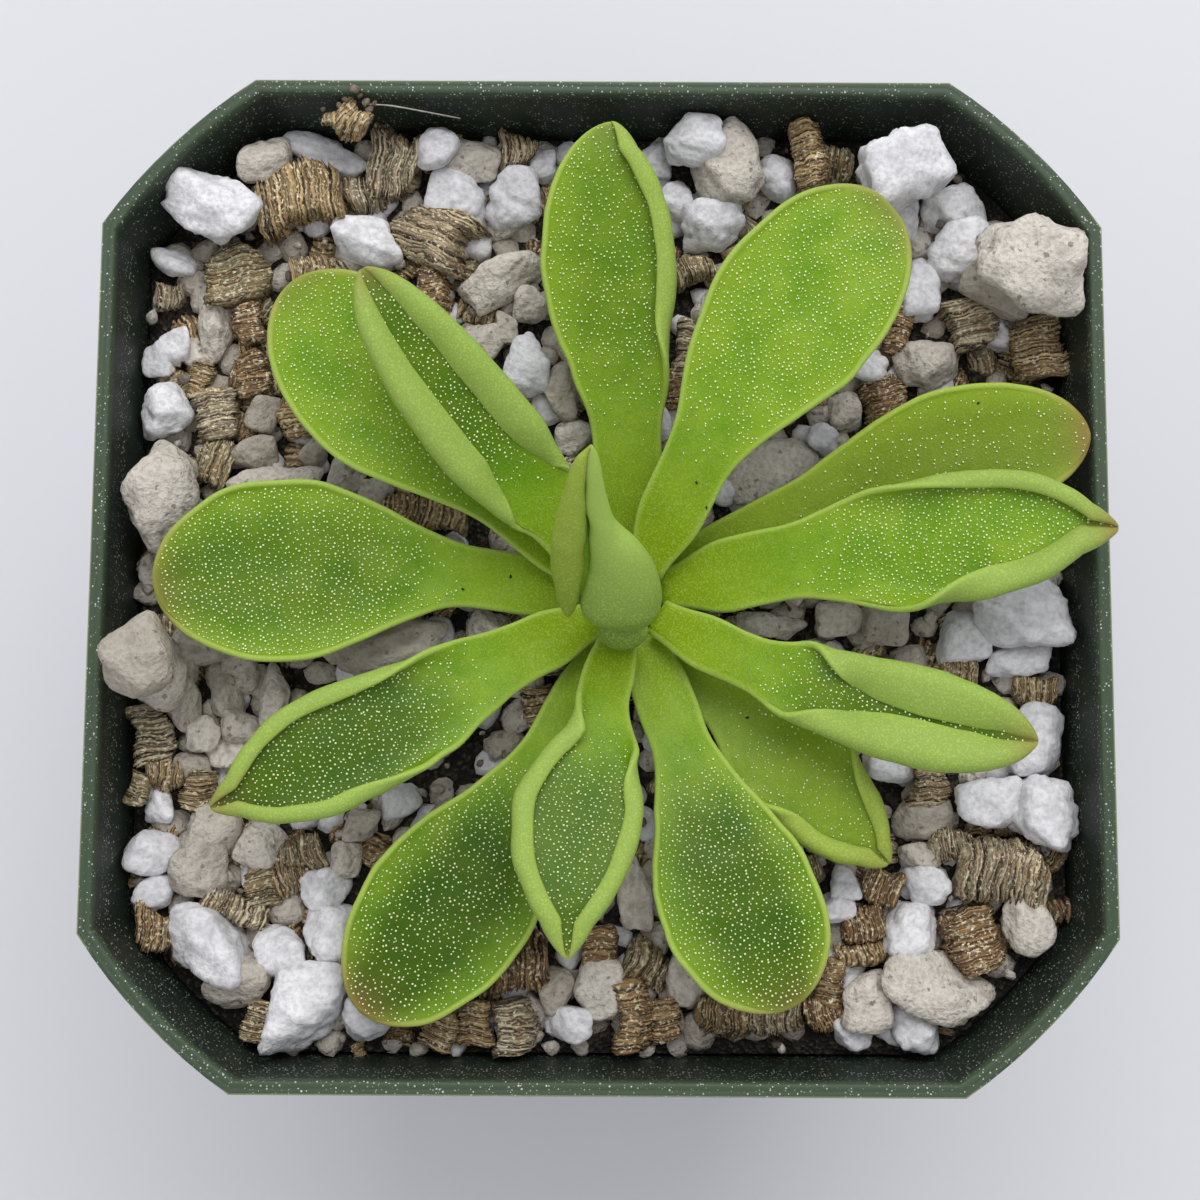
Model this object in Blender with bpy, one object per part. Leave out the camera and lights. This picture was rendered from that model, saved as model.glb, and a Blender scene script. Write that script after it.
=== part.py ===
"""Butterwort rosette in a square plastic pot, full size.

Frame: +Z up, +X right and +Y away in a view from above, origin at the middle of the pot's base.
Sizes below are in millimetres. Heights of the plant and of the mix are counted from the plane of the
pot's rim, so they are negative below the rim, and `to_world` moves them to the base's frame.
"""

import math
from dataclasses import dataclass

import bpy
import numpy as np

MM = 0.001

# Pot
POT_HEIGHT = 70.0
RIM_HALF_WIDTH = 38.1
BASE_HALF_WIDTH = 27.4
BAND_HEIGHT = 13.0
BAND_TAPER = 0.55
BAND_STEP = 1.1
LEDGE_HEIGHT = 0.9
LEDGE_LIFT = 0.8
WALL = 1.1
FLOOR = 1.6
RIM_ROUNDING = 0.2
FOOT_ROUNDING = 0.9
CORNER_CUT = 0.30
CORNER_BOW = 0.02
CORNER_POINTS = 5
DRAIN_RADIUS = 4.0
DRAIN_OFFSET = 16.5
ROUND_SIDES = 16

# Mix
GAP = 0.35
MIX_EDGE = -7.3
MIX_DIP = 1.7
HOLE_RADIUS = 2.9
HOLE_DEPTH = 22.0
FILL_STONES = 95
FILL_TRIES = 4000
PACKING = 0.86
SLIMMEST_STONE = 0.75
ROOM_AT_CROWN = 4.5
STONE_RISE = 0.46
STONE_SHOWING = 0.18
LEAST_SHOWING = 0.5
STONE_CLEARANCE = 0.5
LEAF_REACH = 1.6
BLOCK_SIZE = 0.82
SEED = 11

# How far out a stone may reach: to a side wall, and as |x| + |y| to a corner
STONE_ROOM = RIM_HALF_WIDTH - BAND_TAPER - WALL - GAP
CORNER_ROOM = 2 * STONE_ROOM - CORNER_CUT * RIM_HALF_WIDTH

# Crown: each row of its profile is a radius and a share of the root's length below the top
CROWN_X = 2.3
CROWN_Y = -1.7
CROWN_TOP = -4.3
ROOT_LENGTH = 15.0
CROWN_PROFILE = ((0.7, 1.0), (1.3, 0.6), (2.0, 0.3), (2.0, 0.04), (1.5, 0.0))

# Leaves: thicknesses and widths in mm, turns of the cross-section in degrees, the rest in shares
NECK_THICKNESS = 1.0
EDGE_THICKNESS = 0.62
THINNING = 0.6
SEAT_HALF_WIDTH = 1.5
SEAT_SHARE = 0.16
TIP_HALF_WIDTH = 0.35
CHANNEL = 18.0
CUP = 8.0
LIP = 60.0
LIP_START = 0.84
LIP_LOST_AT = 125.0
TIGHTEST_ROLL = 0.55
FLAT_STATIONS = 13
ROLLED_STATIONS = 17
FLAT_COLUMNS = (0.0, 0.3, 0.6, LIP_START, 1.0)
FURL_ROUNDNESS = 0.8
GROOVE_WIDTH = 0.45


@dataclass(frozen=True)
class Tier:
    """A whorl of leaves: where it starts at the crown and how steeply it leaves."""
    radius: float
    height: float
    rise: float
    fall: float


LOWER = Tier(3.0, -6.8, 12, 6)
MIDDLE = Tier(2.7, -5.3, 16, 6)
UPPER = Tier(2.5, -3.8, 22, 8)


@dataclass(frozen=True)
class Margin:
    """One half of a blade: its width and how its edge rolls over.

    width is the flattened half width in mm. roll is the turn of the edge in degrees, from the share
    `start` of the leaf's length on, and it is spent between the shares `fold` and `end` of the width.
    """
    width: float
    roll: float = 0.0
    start: float = 0.45
    fold: float = 0.5
    end: float = 0.82


@dataclass(frozen=True)
class Leaf:
    """A spreading leaf. Angles in degrees from +X, lengths in mm, heights from the rim plane."""
    name: str
    tier: Tier
    seat: float
    leave: float
    tip: tuple
    arrive: float
    left: Margin
    right: Margin
    neck: float = 2.4
    neck_at: float = 0.28
    widest_at: float = 0.70
    tip_power: float = 2.4
    tip_round: float = 0.6
    ramp: float = 0.25
    rise: float = None
    fall: float = None


LEAVES = (
    Leaf("leaf_01", LOWER, 88, 92, (0.6, 34.4, 1.0), 95, Margin(6.1), Margin(6.4, 150, 0.40, 0.50, 0.80),
         neck=2.7, widest_at=0.66),
    Leaf("leaf_02", UPPER, 64, 66, (21.6, 27.1, 3.0), 38, Margin(6.3), Margin(6.9),
         neck=2.6, neck_at=0.25, widest_at=0.68, tip_round=0.5, rise=20, fall=4),
    Leaf("leaf_03", LOWER, 30, 30, (36.8, 10.6, 0.0), 2, Margin(5.2), Margin(5.4), neck_at=0.32),
    Leaf("leaf_04", MIDDLE, 22, 11, (37.4, 3.0, 4.0), -3, Margin(6.6, 165, 0.42, 0.55, 0.80),
         Margin(6.6, 165, 0.55, 0.58, 0.82), neck=2.9, tip_power=2.0, tip_round=0.9),
    Leaf("leaf_05", UPPER, -30, -32, (31.0, -12.4, 5.0), -9, Margin(7.4, 170, 0.34, 0.42, 0.66),
         Margin(7.2, 170, 0.40, 0.42, 0.66), neck=2.1, tip_power=1.8, tip_round=0.9),
    Leaf("leaf_06", LOWER, -48, -43, (21.5, -21.4, -1.4), -43, Margin(4.8, 160, 0.62, 0.60, 0.85),
         Margin(5.2, 160, 0.54, 0.52, 0.82), neck=2.3),
    Leaf("leaf_07", MIDDLE, -68, -72, (14.2, -31.4, 1.0), -62, Margin(5.6), Margin(6.4),
         neck=2.3, widest_at=0.72, rise=14, fall=2),
    Leaf("leaf_08", UPPER, -106, -106, (-2.1, -27.5, 6.0), -89, Margin(6.2, 165, 0.35, 0.60, 0.84),
         Margin(6.6, 165, 0.20, 0.55, 0.79), neck=2.0, neck_at=0.20, widest_at=0.60,
         tip_power=1.8, tip_round=0.9),
    Leaf("leaf_09", LOWER, -116, -117, (-17.7, -32.0, -1.0), -140, Margin(6.1), Margin(6.6)),
    Leaf("leaf_10", MIDDLE, 207, 204, (-27.8, -17.4, 3.0), 205, Margin(6.8, 165, 0.50, 0.55, 0.78),
         Margin(6.6, 165, 0.38, 0.50, 0.75), neck_at=0.18, tip_power=1.8, tip_round=0.9),
    Leaf("leaf_11", LOWER, 172, 168, (-32.9, -1.5, 1.0), 194, Margin(7.0), Margin(7.0)),
    Leaf("leaf_12", MIDDLE, 146, 139, (-22.8, 22.2, 1.0), 120, Margin(6.5), Margin(6.5)),
    Leaf("leaf_13", UPPER, 128, 135, (-17.1, 21.0, 7.0), 122, Margin(7.0, 170, 0.30, 0.45, 0.70),
         Margin(6.8, 170, 0.26, 0.43, 0.68), neck=2.3, neck_at=0.20, widest_at=0.60,
         tip_power=2.0, tip_round=0.8),
)


@dataclass(frozen=True)
class Furled:
    """A young leaf still rolled up: two lobes side by side with a groove between them.

    Each row of `girth` is (share of the length, left lobe's width, right lobe's width, half depth).
    """
    name: str
    base: tuple
    leave: tuple
    tip: tuple
    arrive: tuple
    left_side: float
    groove: float
    girth: tuple
    stations: int
    around: int


YOUNG_LEAVES = (
    Furled("leaf_14", (1.1, -1.4, -3.6), (215, 66), (-0.8, 6.8, 15.0), (90, 46), 174, 0.8,
           ((0.00, 0.8, 1.0, 0.8), (0.13, 1.0, 1.2, 0.9), (0.19, 1.7, 3.6, 1.3), (0.25, 2.3, 5.1, 1.7),
            (0.32, 2.6, 5.4, 1.8), (0.42, 2.7, 4.9, 1.7), (0.52, 2.7, 3.5, 1.5), (0.64, 2.4, 2.2, 1.3),
            (0.76, 2.0, 1.6, 1.1), (0.88, 1.3, 1.1, 0.8), (0.96, 0.8, 0.7, 0.6), (1.00, 0.4, 0.4, 0.4)),
           15, 16),
    Furled("leaf_15", (2.2, -3.8, -2.9), (-80, 80), (1.9, -3.7, 0.0), (110, 70), 180, 0.0,
           ((0.00, 1.0, 1.0, 0.8), (0.15, 1.6, 1.6, 1.2), (0.40, 2.0, 2.0, 1.5), (0.65, 1.8, 1.8, 1.3),
            (0.85, 1.2, 1.2, 1.0), (1.00, 0.6, 0.6, 0.5)),
           8, 12),
)

# The stones that stand out from above: kind, x, y, length, width, turn in degrees
PLACED_STONES = (
    ("perlite", -31.4, 30.1, 7.2, 6.1, 0), ("perlite", -22.6, 34.6, 7.2, 3.1, -30),
    ("vermiculite", -24.5, 31.1, 6.7, 7.0, 0), ("vermiculite", -16.9, 33.4, 3.9, 6.4, 0),
    ("pumice", -11.0, 34.7, 5.6, 3.6, 0), ("perlite", -12.0, 30.9, 5.0, 4.8, 0),
    ("perlite", -7.0, 31.3, 4.6, 4.9, 0), ("perlite", -18.9, 27.7, 5.6, 4.6, 0),
    ("vermiculite", -13.2, 26.4, 6.6, 4.2, -25), ("vermiculite", -29.6, 25.1, 5.9, 4.3, 0),
    ("pumice", -8.2, 22.9, 6.8, 3.4, 40), ("pumice", -31.4, 20.2, 3.4, 6.4, 0),
    ("perlite", -34.4, 14.0, 4.2, 5.0, 0), ("pumice", -33.6, 6.4, 6.1, 9.2, 0),
    ("pumice", -25.7, 8.1, 8.1, 2.8, 0), ("vermiculite", -14.0, 5.6, 6.7, 3.1, 0),
    ("perlite", -5.9, 17.9, 3.6, 5.3, 0), ("perlite", 6.9, 34.6, 5.3, 3.6, 0),
    ("pumice", 10.8, 31.6, 6.0, 6.4, 0), ("perlite", 8.7, 27.0, 5.2, 4.0, 0),
    ("perlite", 22.6, 32.4, 7.8, 6.0, 30), ("perlite", 28.6, 29.6, 5.3, 4.2, 0),
    ("perlite", 27.6, 25.0, 5.3, 5.3, 0), ("pumice", 32.0, 20.9, 8.8, 7.8, 0),
    ("vermiculite", 27.4, 19.4, 5.0, 4.2, 0), ("vermiculite", 33.6, 15.0, 4.4, 4.6, 0),
    ("pumice", 24.6, 15.4, 5.4, 4.4, 0), ("pumice", 14.1, 9.4, 7.2, 6.1, 0),
    ("pumice", -33.4, -6.7, 6.0, 6.2, 0), ("pumice", -17.0, -5.3, 10.6, 4.2, 15),
    ("pumice", -30.2, -19.4, 4.2, 5.3, 0), ("pumice", -31.5, -23.7, 5.0, 4.4, 0),
    ("perlite", -28.6, -28.6, 6.0, 6.0, 0), ("pumice", -25.2, -31.9, 5.4, 4.0, 0),
    ("perlite", -21.6, -28.4, 5.4, 5.8, 0), ("perlite", -20.2, -33.6, 4.6, 4.2, 0),
    ("vermiculite", -5.9, -30.2, 3.9, 5.3, 0), ("pumice", -0.1, -32.9, 3.9, 5.4, 0),
    ("pumice", 2.7, -25.6, 3.1, 6.4, 0), ("pumice", 6.4, -31.2, 4.2, 5.4, 0),
    ("pumice", 20.4, -33.2, 4.2, 4.2, 0), ("pumice", 26.2, -30.4, 8.6, 4.8, -25),
    ("perlite", 23.4, -26.8, 4.5, 4.5, 0), ("vermiculite", 28.6, -25.8, 5.0, 4.2, 0),
    ("pumice", 32.4, -24.4, 3.8, 4.4, 0), ("vermiculite", 31.6, -20.6, 6.4, 4.4, 0),
    ("perlite", 34.0, -15.6, 4.6, 5.4, 0), ("perlite", 29.6, -15.9, 4.8, 4.4, 0),
    ("pumice", 25.2, -18.1, 5.2, 3.6, 0), ("perlite", 34.2, -9.9, 4.4, 5.6, 0),
    ("perlite", 32.4, -3.2, 7.4, 5.6, 0), ("perlite", 26.8, -5.0, 4.2, 4.4, 0),
)

# The mix's make-up where it isn't placed by hand: kind, share, smallest and largest grain
MIX_PARTS = (
    ("perlite", 0.38, 3.0, 5.0),
    ("pumice", 0.34, 3.0, 5.4),
    ("vermiculite", 0.28, 2.8, 4.8),
)


def clear_scene():
    for item in list(bpy.data.objects):
        bpy.data.objects.remove(item, do_unlink=True)


def material(name, colour, roughness):
    """A Principled material of a plain colour, given as linear RGB."""
    made = bpy.data.materials.new(name)
    made.use_nodes = True
    shader = made.node_tree.nodes["Principled BSDF"]
    shader.inputs["Base Color"].default_value = (*colour, 1.0)
    shader.inputs["Roughness"].default_value = roughness
    shader.inputs["Metallic"].default_value = 0.0
    made.diffuse_color = (*colour, 1.0)
    return made


def to_world(points):
    """Millimetres counted from the rim plane, as metres counted from the base."""
    return (np.asarray(points, float) + (0.0, 0.0, POT_HEIGHT)) * MM


def add_object(name, points, faces, surface, smooth=True):
    mesh = bpy.data.meshes.new(name)
    mesh.from_pydata(to_world(points).tolist(), [], [list(map(int, face)) for face in faces])
    mesh.materials.append(surface)
    if smooth:
        mesh.shade_smooth()
        mesh.set_sharp_from_angle(angle=math.radians(40))
    made = bpy.data.objects.new(name, mesh)
    bpy.context.collection.objects.link(made)
    return made


def apply_boolean(target, operation, solver, cutter=None, collection=None):
    """Apply one Boolean modifier to target and leave its result as the mesh."""
    modifier = target.modifiers.new(operation.lower(), "BOOLEAN")
    modifier.operation = operation
    modifier.solver = solver
    if collection is None:
        modifier.object = cutter
    else:
        modifier.operand_type = "COLLECTION"
        modifier.collection = collection
    bpy.context.view_layer.objects.active = target
    bpy.ops.object.modifier_apply(modifier=modifier.name)


# Pot

def square_outline(half_width, cut, height):
    """Points of one level of the pot: a square with cut, slightly bowed corners, counter-clockwise."""
    points = []
    for quarter in range(4):
        turn = math.pi / 2 * quarter
        start = np.array((half_width, half_width - cut))
        end = np.array((half_width - cut, half_width))
        for step in range(CORNER_POINTS):
            share = step / (CORNER_POINTS - 1)
            bow = CORNER_BOW * half_width * 4 * share * (1 - share)
            corner = start + (end - start) * share + bow / math.sqrt(2)
            points.append((corner[0] * math.cos(turn) - corner[1] * math.sin(turn),
                           corner[0] * math.sin(turn) + corner[1] * math.cos(turn), height))
    return points


def wall_half_width(height):
    """Outer half width of the tapered wall at a height from the rim plane, below the rim band."""
    share = (height + POT_HEIGHT) / POT_HEIGHT
    top = RIM_HALF_WIDTH - BAND_STEP
    return BASE_HALF_WIDTH + (top - BASE_HALF_WIDTH) * share


def inset_outline(half_width, inset, height):
    """The outline `inset` inside the outer one, with its cut corners the same distance in."""
    cut = CORNER_CUT * half_width - inset * (2 - math.sqrt(2))
    return square_outline(half_width - inset, cut, height)


def loft(levels):
    """Join closed rings of equal length into one closed body, the first and last ring capped."""
    count = len(levels[0])
    points = [point for level in levels for point in level]
    faces = []
    for level in range(len(levels) - 1):
        for index in range(count):
            after = (index + 1) % count
            low = level * count
            faces.append((low + index, low + after, low + count + after, low + count + index))
    faces.append(tuple(reversed(range(count))))
    faces.append(tuple(range(len(points) - count, len(points))))
    return points, faces


def pot_levels():
    """Rings of the pot from its base, up the outside, over the rim and down to its floor."""
    foot = FOOT_ROUNDING - POT_HEIGHT
    band = -BAND_HEIGHT
    band_half = RIM_HALF_WIDTH - BAND_TAPER
    inner_band = band + LEDGE_LIFT
    floor = FLOOR - POT_HEIGHT
    return [
        inset_outline(BASE_HALF_WIDTH, FOOT_ROUNDING, -POT_HEIGHT),
        inset_outline(BASE_HALF_WIDTH, 0.0, foot),
        inset_outline(wall_half_width(band - LEDGE_HEIGHT), 0.0, band - LEDGE_HEIGHT),
        inset_outline(band_half, 0.0, band),
        inset_outline(RIM_HALF_WIDTH, 0.0, -RIM_ROUNDING),
        inset_outline(RIM_HALF_WIDTH, RIM_ROUNDING, 0.0),
        inset_outline(RIM_HALF_WIDTH, WALL - RIM_ROUNDING, 0.0),
        inset_outline(RIM_HALF_WIDTH, WALL, -RIM_ROUNDING),
        inset_outline(band_half, WALL, inner_band),
        inset_outline(wall_half_width(inner_band - LEDGE_HEIGHT), WALL, inner_band - LEDGE_HEIGHT),
        inset_outline(wall_half_width(floor), WALL, floor),
    ]


def build_pot(surface):
    pot = add_object("pot", *loft(pot_levels()), surface)
    for x_side in (-1, 1):
        for y_side in (-1, 1):
            place = (x_side * DRAIN_OFFSET * MM, y_side * DRAIN_OFFSET * MM, FLOOR / 2 * MM)
            bpy.ops.mesh.primitive_cylinder_add(vertices=ROUND_SIDES, radius=DRAIN_RADIUS * MM,
                                                depth=3 * FLOOR * MM, location=place)
            cutter = bpy.context.object
            apply_boolean(pot, "DIFFERENCE", "EXACT", cutter=cutter)
            bpy.data.objects.remove(cutter, do_unlink=True)
    return pot


# Leaves

def ease(share):
    """0 below 0, 1 above 1 and a smooth step between them."""
    share = np.clip(share, 0.0, 1.0)
    return share * share * (3 - 2 * share)


def direction(azimuth, elevation):
    turn, lift = math.radians(azimuth), math.radians(elevation)
    return np.array((math.cos(lift) * math.cos(turn), math.cos(lift) * math.sin(turn), math.sin(lift)))


def curve_between(start, leaving, end, arriving, shares):
    """Hermite curve through two points with a given direction at each, its speed their distance."""
    start, end = np.array(start, float), np.array(end, float)
    speed = np.linalg.norm(end - start)
    t = shares[:, None]
    return ((2 * t**3 - 3 * t**2 + 1) * start + (t**3 - 2 * t**2 + t) * speed * leaving
            + (3 * t**2 - 2 * t**3) * end + (t**3 - t**2) * speed * arriving)


def unit(vectors):
    return vectors / np.linalg.norm(vectors, axis=-1, keepdims=True)


def midrib(leaf, stations):
    """Evenly spaced points of the midrib, with the sideways and upward directions at each."""
    tier = leaf.tier
    seat = math.radians(leaf.seat)
    start = (CROWN_X + tier.radius * math.cos(seat), CROWN_Y + tier.radius * math.sin(seat), tier.height)
    rise = tier.rise if leaf.rise is None else leaf.rise
    fall = tier.fall if leaf.fall is None else leaf.fall
    fine = curve_between(start, direction(leaf.leave, rise), leaf.tip, direction(leaf.arrive, fall),
                         np.linspace(0, 1, 201))
    along = np.concatenate(([0], np.cumsum(np.linalg.norm(np.diff(fine, axis=0), axis=1))))
    shares = np.linspace(0, 1, stations)
    heading = unit(np.gradient(fine, axis=0))
    points = np.stack([np.interp(shares, along / along[-1], fine[:, k]) for k in range(3)], 1)
    heading = unit(np.stack([np.interp(shares, along / along[-1], heading[:, k]) for k in range(3)], 1))
    sideways = unit(np.stack((-heading[:, 1], heading[:, 0], 0 * heading[:, 0]), 1))
    return shares, points, sideways, np.cross(heading, sideways)


def half_width(leaf, margin, shares):
    """Flattened half width along a leaf: narrow at the crown, a neck, a paddle and a blunt tip."""
    width = leaf.neck + (margin.width - leaf.neck) * ease((shares - leaf.neck_at)
                                                          / (leaf.widest_at - leaf.neck_at))
    width = width + (SEAT_HALF_WIDTH - leaf.neck) * (1 - ease(shares / SEAT_SHARE))
    beyond = np.clip((shares - leaf.widest_at) / (1 - leaf.widest_at), 0, 1)
    return np.maximum(width * (1 - beyond**leaf.tip_power)**leaf.tip_round, TIP_HALF_WIDTH)


def cross_section(leaf, margin, shares, across):
    """Sideways and upward offsets of one half of the blade.

    The tangent's angle is summed from the midrib outwards: a shallow channel in the neck, a slight
    cup in the blade, the roll between `fold` and `end`, and a raised lip where little or nothing
    rolls. No turn is tighter than TIGHTEST_ROLL, which is its smallest radius.
    """
    width = half_width(leaf, margin, shares)[:, None]
    spent = margin.end - margin.fold
    turn = math.radians(margin.roll) * ease((shares - margin.start) / leaf.ramp)[:, None]
    turn = np.minimum(turn, spent * width / TIGHTEST_ROLL)
    blade_share = ease((shares - 0.25) / 0.3)[:, None]
    lip = np.minimum(math.radians(LIP) * blade_share, (1 - LIP_START) * width / TIGHTEST_ROLL)
    lip = lip * (1 - np.minimum(turn / math.radians(LIP_LOST_AT), 1))
    bend = math.radians(CUP) * blade_share + math.radians(CHANNEL) * (1 - blade_share)
    angle = (bend * across + turn * ease((across - margin.fold) / spent)
             + lip * ease((across - LIP_START) / (1 - LIP_START)))
    middle = (angle[:, 1:] + angle[:, :-1]) / 2
    step = np.diff(across)
    zero = np.zeros_like(width)
    out = np.concatenate((zero, np.cumsum(np.cos(middle) * step, 1)), 1) * width
    up = np.concatenate((zero, np.cumsum(np.sin(middle) * step, 1)), 1) * width
    return out, up


def columns(margin):
    """Shares of the half width at which the blade has a line of points, close together in a roll."""
    if margin.roll == 0:
        return np.array(FLAT_COLUMNS)
    return np.concatenate(((0, margin.fold / 2), np.linspace(margin.fold, margin.end, 4), (1,)))


def blade(leaf):
    """Points of the blade's middle surface, station by station, from its right edge to its left."""
    rolled = leaf.left.roll > 0 or leaf.right.roll > 0
    shares, points, sideways, upward = midrib(leaf, ROLLED_STATIONS if rolled else FLAT_STATIONS)
    left_across, right_across = columns(leaf.left), columns(leaf.right)
    left_out, left_up = cross_section(leaf, leaf.left, shares, left_across)
    right_out, right_up = cross_section(leaf, leaf.right, shares, right_across)
    out = np.concatenate((-right_out[:, :0:-1], left_out), 1)[..., None]
    up = np.concatenate((right_up[:, :0:-1], left_up), 1)[..., None]
    across = np.concatenate((-right_across[:0:-1], left_across))
    return points[:, None] + out * sideways[:, None] + up * upward[:, None], shares, across


def thicken(surface, thickness):
    """A closed body around an open grid of points, split into triangles alike on both faces."""
    rows, cols = surface.shape[:2]
    normal = unit(np.cross(np.gradient(surface, axis=0), np.gradient(surface, axis=1)))
    offset = normal * thickness[..., None] / 2
    points = np.concatenate(((surface + offset).reshape(-1, 3), (surface - offset).reshape(-1, 3)))
    row, col = np.meshgrid(np.arange(rows - 1), np.arange(cols - 1), indexing="ij")
    a = (row * cols + col).ravel()
    b, c, d = a + cols, a + cols + 1, a + 1
    under = rows * cols
    edge = np.concatenate((np.arange(cols), np.arange(1, rows) * cols + cols - 1,
                           (rows - 1) * cols + np.arange(cols - 2, -1, -1),
                           np.arange(rows - 2, 0, -1) * cols))
    after = np.roll(edge, -1)
    faces = (np.stack((a, b, c), 1), np.stack((a, c, d), 1),
             np.stack((a, c, b), 1) + under, np.stack((a, d, c), 1) + under,
             np.stack((edge, after, after + under), 1), np.stack((edge, after + under, edge + under), 1))
    return points, np.concatenate(faces)


def leaf_solid(leaf):
    """A blade thick at the midrib near the crown and thin at its edges."""
    surface, shares, across = blade(leaf)
    extra = (NECK_THICKNESS - EDGE_THICKNESS) * (1 - across[None, :]**2) * (1 - THINNING * shares[:, None])
    return thicken(surface, EDGE_THICKNESS + extra)


def furled_solid(leaf):
    """A rolled-up leaf: rings of two half ellipses, pressed in along the front where the lobes meet."""
    shares = np.linspace(0, 1, leaf.stations)
    spine = curve_between(leaf.base, direction(*leaf.leave), leaf.tip, direction(*leaf.arrive), shares)
    heading = unit(np.gradient(spine, axis=0))
    side = direction(leaf.left_side, 0)
    side = unit(side - (heading @ side)[:, None] * heading)
    front = np.cross(heading, side)
    known = np.array(leaf.girth)
    left, right, depth = (np.interp(shares, known[:, 0], known[:, k])[:, None] for k in (1, 2, 3))
    around = np.linspace(0, 2 * math.pi, leaf.around, endpoint=False)
    out = np.where(np.cos(around) > 0, left, right) * np.cos(around)
    forward = depth * np.sign(np.sin(around)) * np.abs(np.sin(around))**FURL_ROUNDNESS
    groove = leaf.groove * np.exp(-(out / (GROOVE_WIDTH * np.minimum(left, right)))**2) * (np.sin(around) > 0)
    forward = forward * (1 - groove)
    rings = spine[:, None] + out[..., None] * side[:, None] + forward[..., None] * front[:, None]
    return close_rings(rings)


def close_rings(rings):
    """A closed body of triangles around a stack of rings, with a point in the middle of each end."""
    rows, cols = rings.shape[:2]
    points = np.concatenate((rings.reshape(-1, 3), rings[0].mean(0)[None], rings[-1].mean(0)[None]))
    row, col = np.meshgrid(np.arange(rows - 1), np.arange(cols), indexing="ij")
    a = (row * cols + col).ravel()
    d = (row * cols + (col + 1) % cols).ravel()
    b, c = a + cols, d + cols
    ring = np.arange(cols)
    after = (ring + 1) % cols
    foot, head = np.full(cols, rows * cols), np.full(cols, rows * cols + 1)
    top = (rows - 1) * cols
    faces = (np.stack((a, d, c), 1), np.stack((a, c, b), 1),
             np.stack((foot, after, ring), 1), np.stack((head, top + ring, top + after), 1))
    return points, np.concatenate(faces)


# Crown

def build_crown(surface):
    """The short stem under the leaves, drawn out below into a root stub."""
    around = np.linspace(0, 2 * math.pi, ROUND_SIDES, endpoint=False)
    rings = []
    for radius, depth in CROWN_PROFILE:
        height = np.full(ROUND_SIDES, CROWN_TOP - depth * ROOT_LENGTH)
        rings.append(np.stack((CROWN_X + radius * np.cos(around), CROWN_Y + radius * np.sin(around),
                               height), 1))
    return add_object("crown", *close_rings(np.array(rings)), surface)


# Potting mix

def mix_height(x, y):
    """Height of the bed under the stones: nearly level, a little lower round the crown."""
    away = np.hypot(x - CROWN_X, y - CROWN_Y) / RIM_HALF_WIDTH
    return MIX_EDGE - MIX_DIP * np.exp(-3 * away**2)


def mix_bed(surface):
    """The body of the mix: it follows the pot's inside, with a rounded top and the crown's hole."""
    inset = WALL + GAP
    ledge = LEDGE_LIFT + GAP - BAND_HEIGHT
    top_half = RIM_HALF_WIDTH + BAND_TAPER * MIX_EDGE / BAND_HEIGHT
    floor = FLOOR + GAP - POT_HEIGHT
    levels = [
        inset_outline(wall_half_width(floor), inset, floor),
        inset_outline(wall_half_width(ledge - LEDGE_HEIGHT), inset, ledge - LEDGE_HEIGHT),
        inset_outline(RIM_HALF_WIDTH - BAND_TAPER, inset, ledge),
        inset_outline(top_half, inset, MIX_EDGE),
    ]
    edge = np.array(levels[-1])
    for share in (0.75, 0.5, 0.25):
        ring = edge.copy()
        ring[:, :2] = edge[:, :2] * share
        ring[:, 2] = mix_height(ring[:, 0], ring[:, 1])
        levels.append([tuple(point) for point in ring])
    bed = add_object("potting_mix", *loft(levels), surface)
    place = to_world((CROWN_X, CROWN_Y, CROWN_TOP - HOLE_DEPTH / 2))
    bpy.ops.mesh.primitive_cylinder_add(vertices=ROUND_SIDES, radius=HOLE_RADIUS * MM,
                                        depth=HOLE_DEPTH * MM, location=place)
    cutter = bpy.context.object
    apply_boolean(bed, "DIFFERENCE", "EXACT", cutter=cutter)
    bpy.data.objects.remove(cutter, do_unlink=True)
    return bed


def room_to_wall(x, y):
    """Distance from a point to the nearest place where a stone may not reach."""
    return min(STONE_ROOM - abs(x), STONE_ROOM - abs(y), (CORNER_ROOM - abs(x) - abs(y)) / math.sqrt(2))


def inside_wall(x, y, points):
    """The place nearest to x, y where a stone with these points stands clear of the inner wall."""
    reach = np.abs(points[:, :2])
    side_x, side_y = STONE_ROOM - reach.max(0)
    x, y = np.clip(x, -side_x, side_x), np.clip(y, -side_y, side_y)
    back = max(abs(x) + abs(y) + reach.sum(1).max() - CORNER_ROOM, 0) / 2
    return x - math.copysign(back, x), y - math.copysign(back, y)


def pick_kind(rng):
    draw = rng.random()
    for kind, share, smallest, largest in MIX_PARTS:
        if draw < share:
            return kind, rng.uniform(smallest, largest)
        draw -= share
    return MIX_PARTS[0][0], MIX_PARTS[0][2]


def scatter_stones():
    """The placed stones, then seeded ones wherever the pot's top still has room for them."""
    rng = np.random.default_rng(SEED)
    stones = list(PLACED_STONES)
    taken = [(x, y, (length + width) / 4) for _, x, y, length, width, _ in stones]
    limit = len(stones) + FILL_STONES
    for _ in range(FILL_TRIES):
        kind, size = pick_kind(rng)
        x, y = rng.uniform(-RIM_HALF_WIDTH, RIM_HALF_WIDTH, 2)
        shape = rng.uniform(SLIMMEST_STONE, 1.0)
        turn = rng.uniform(0, 180)
        if len(stones) >= limit:
            break
        if room_to_wall(x, y) < size / 2 or math.hypot(x - CROWN_X, y - CROWN_Y) < ROOM_AT_CROWN:
            continue
        if all(math.hypot(x - u, y - v) > PACKING * (size / 2 + radius) for u, v, radius in taken):
            stones.append((kind, x, y, size, size * shape, turn))
            taken.append((x, y, size * (1 + shape) / 4))
    return stones


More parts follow.
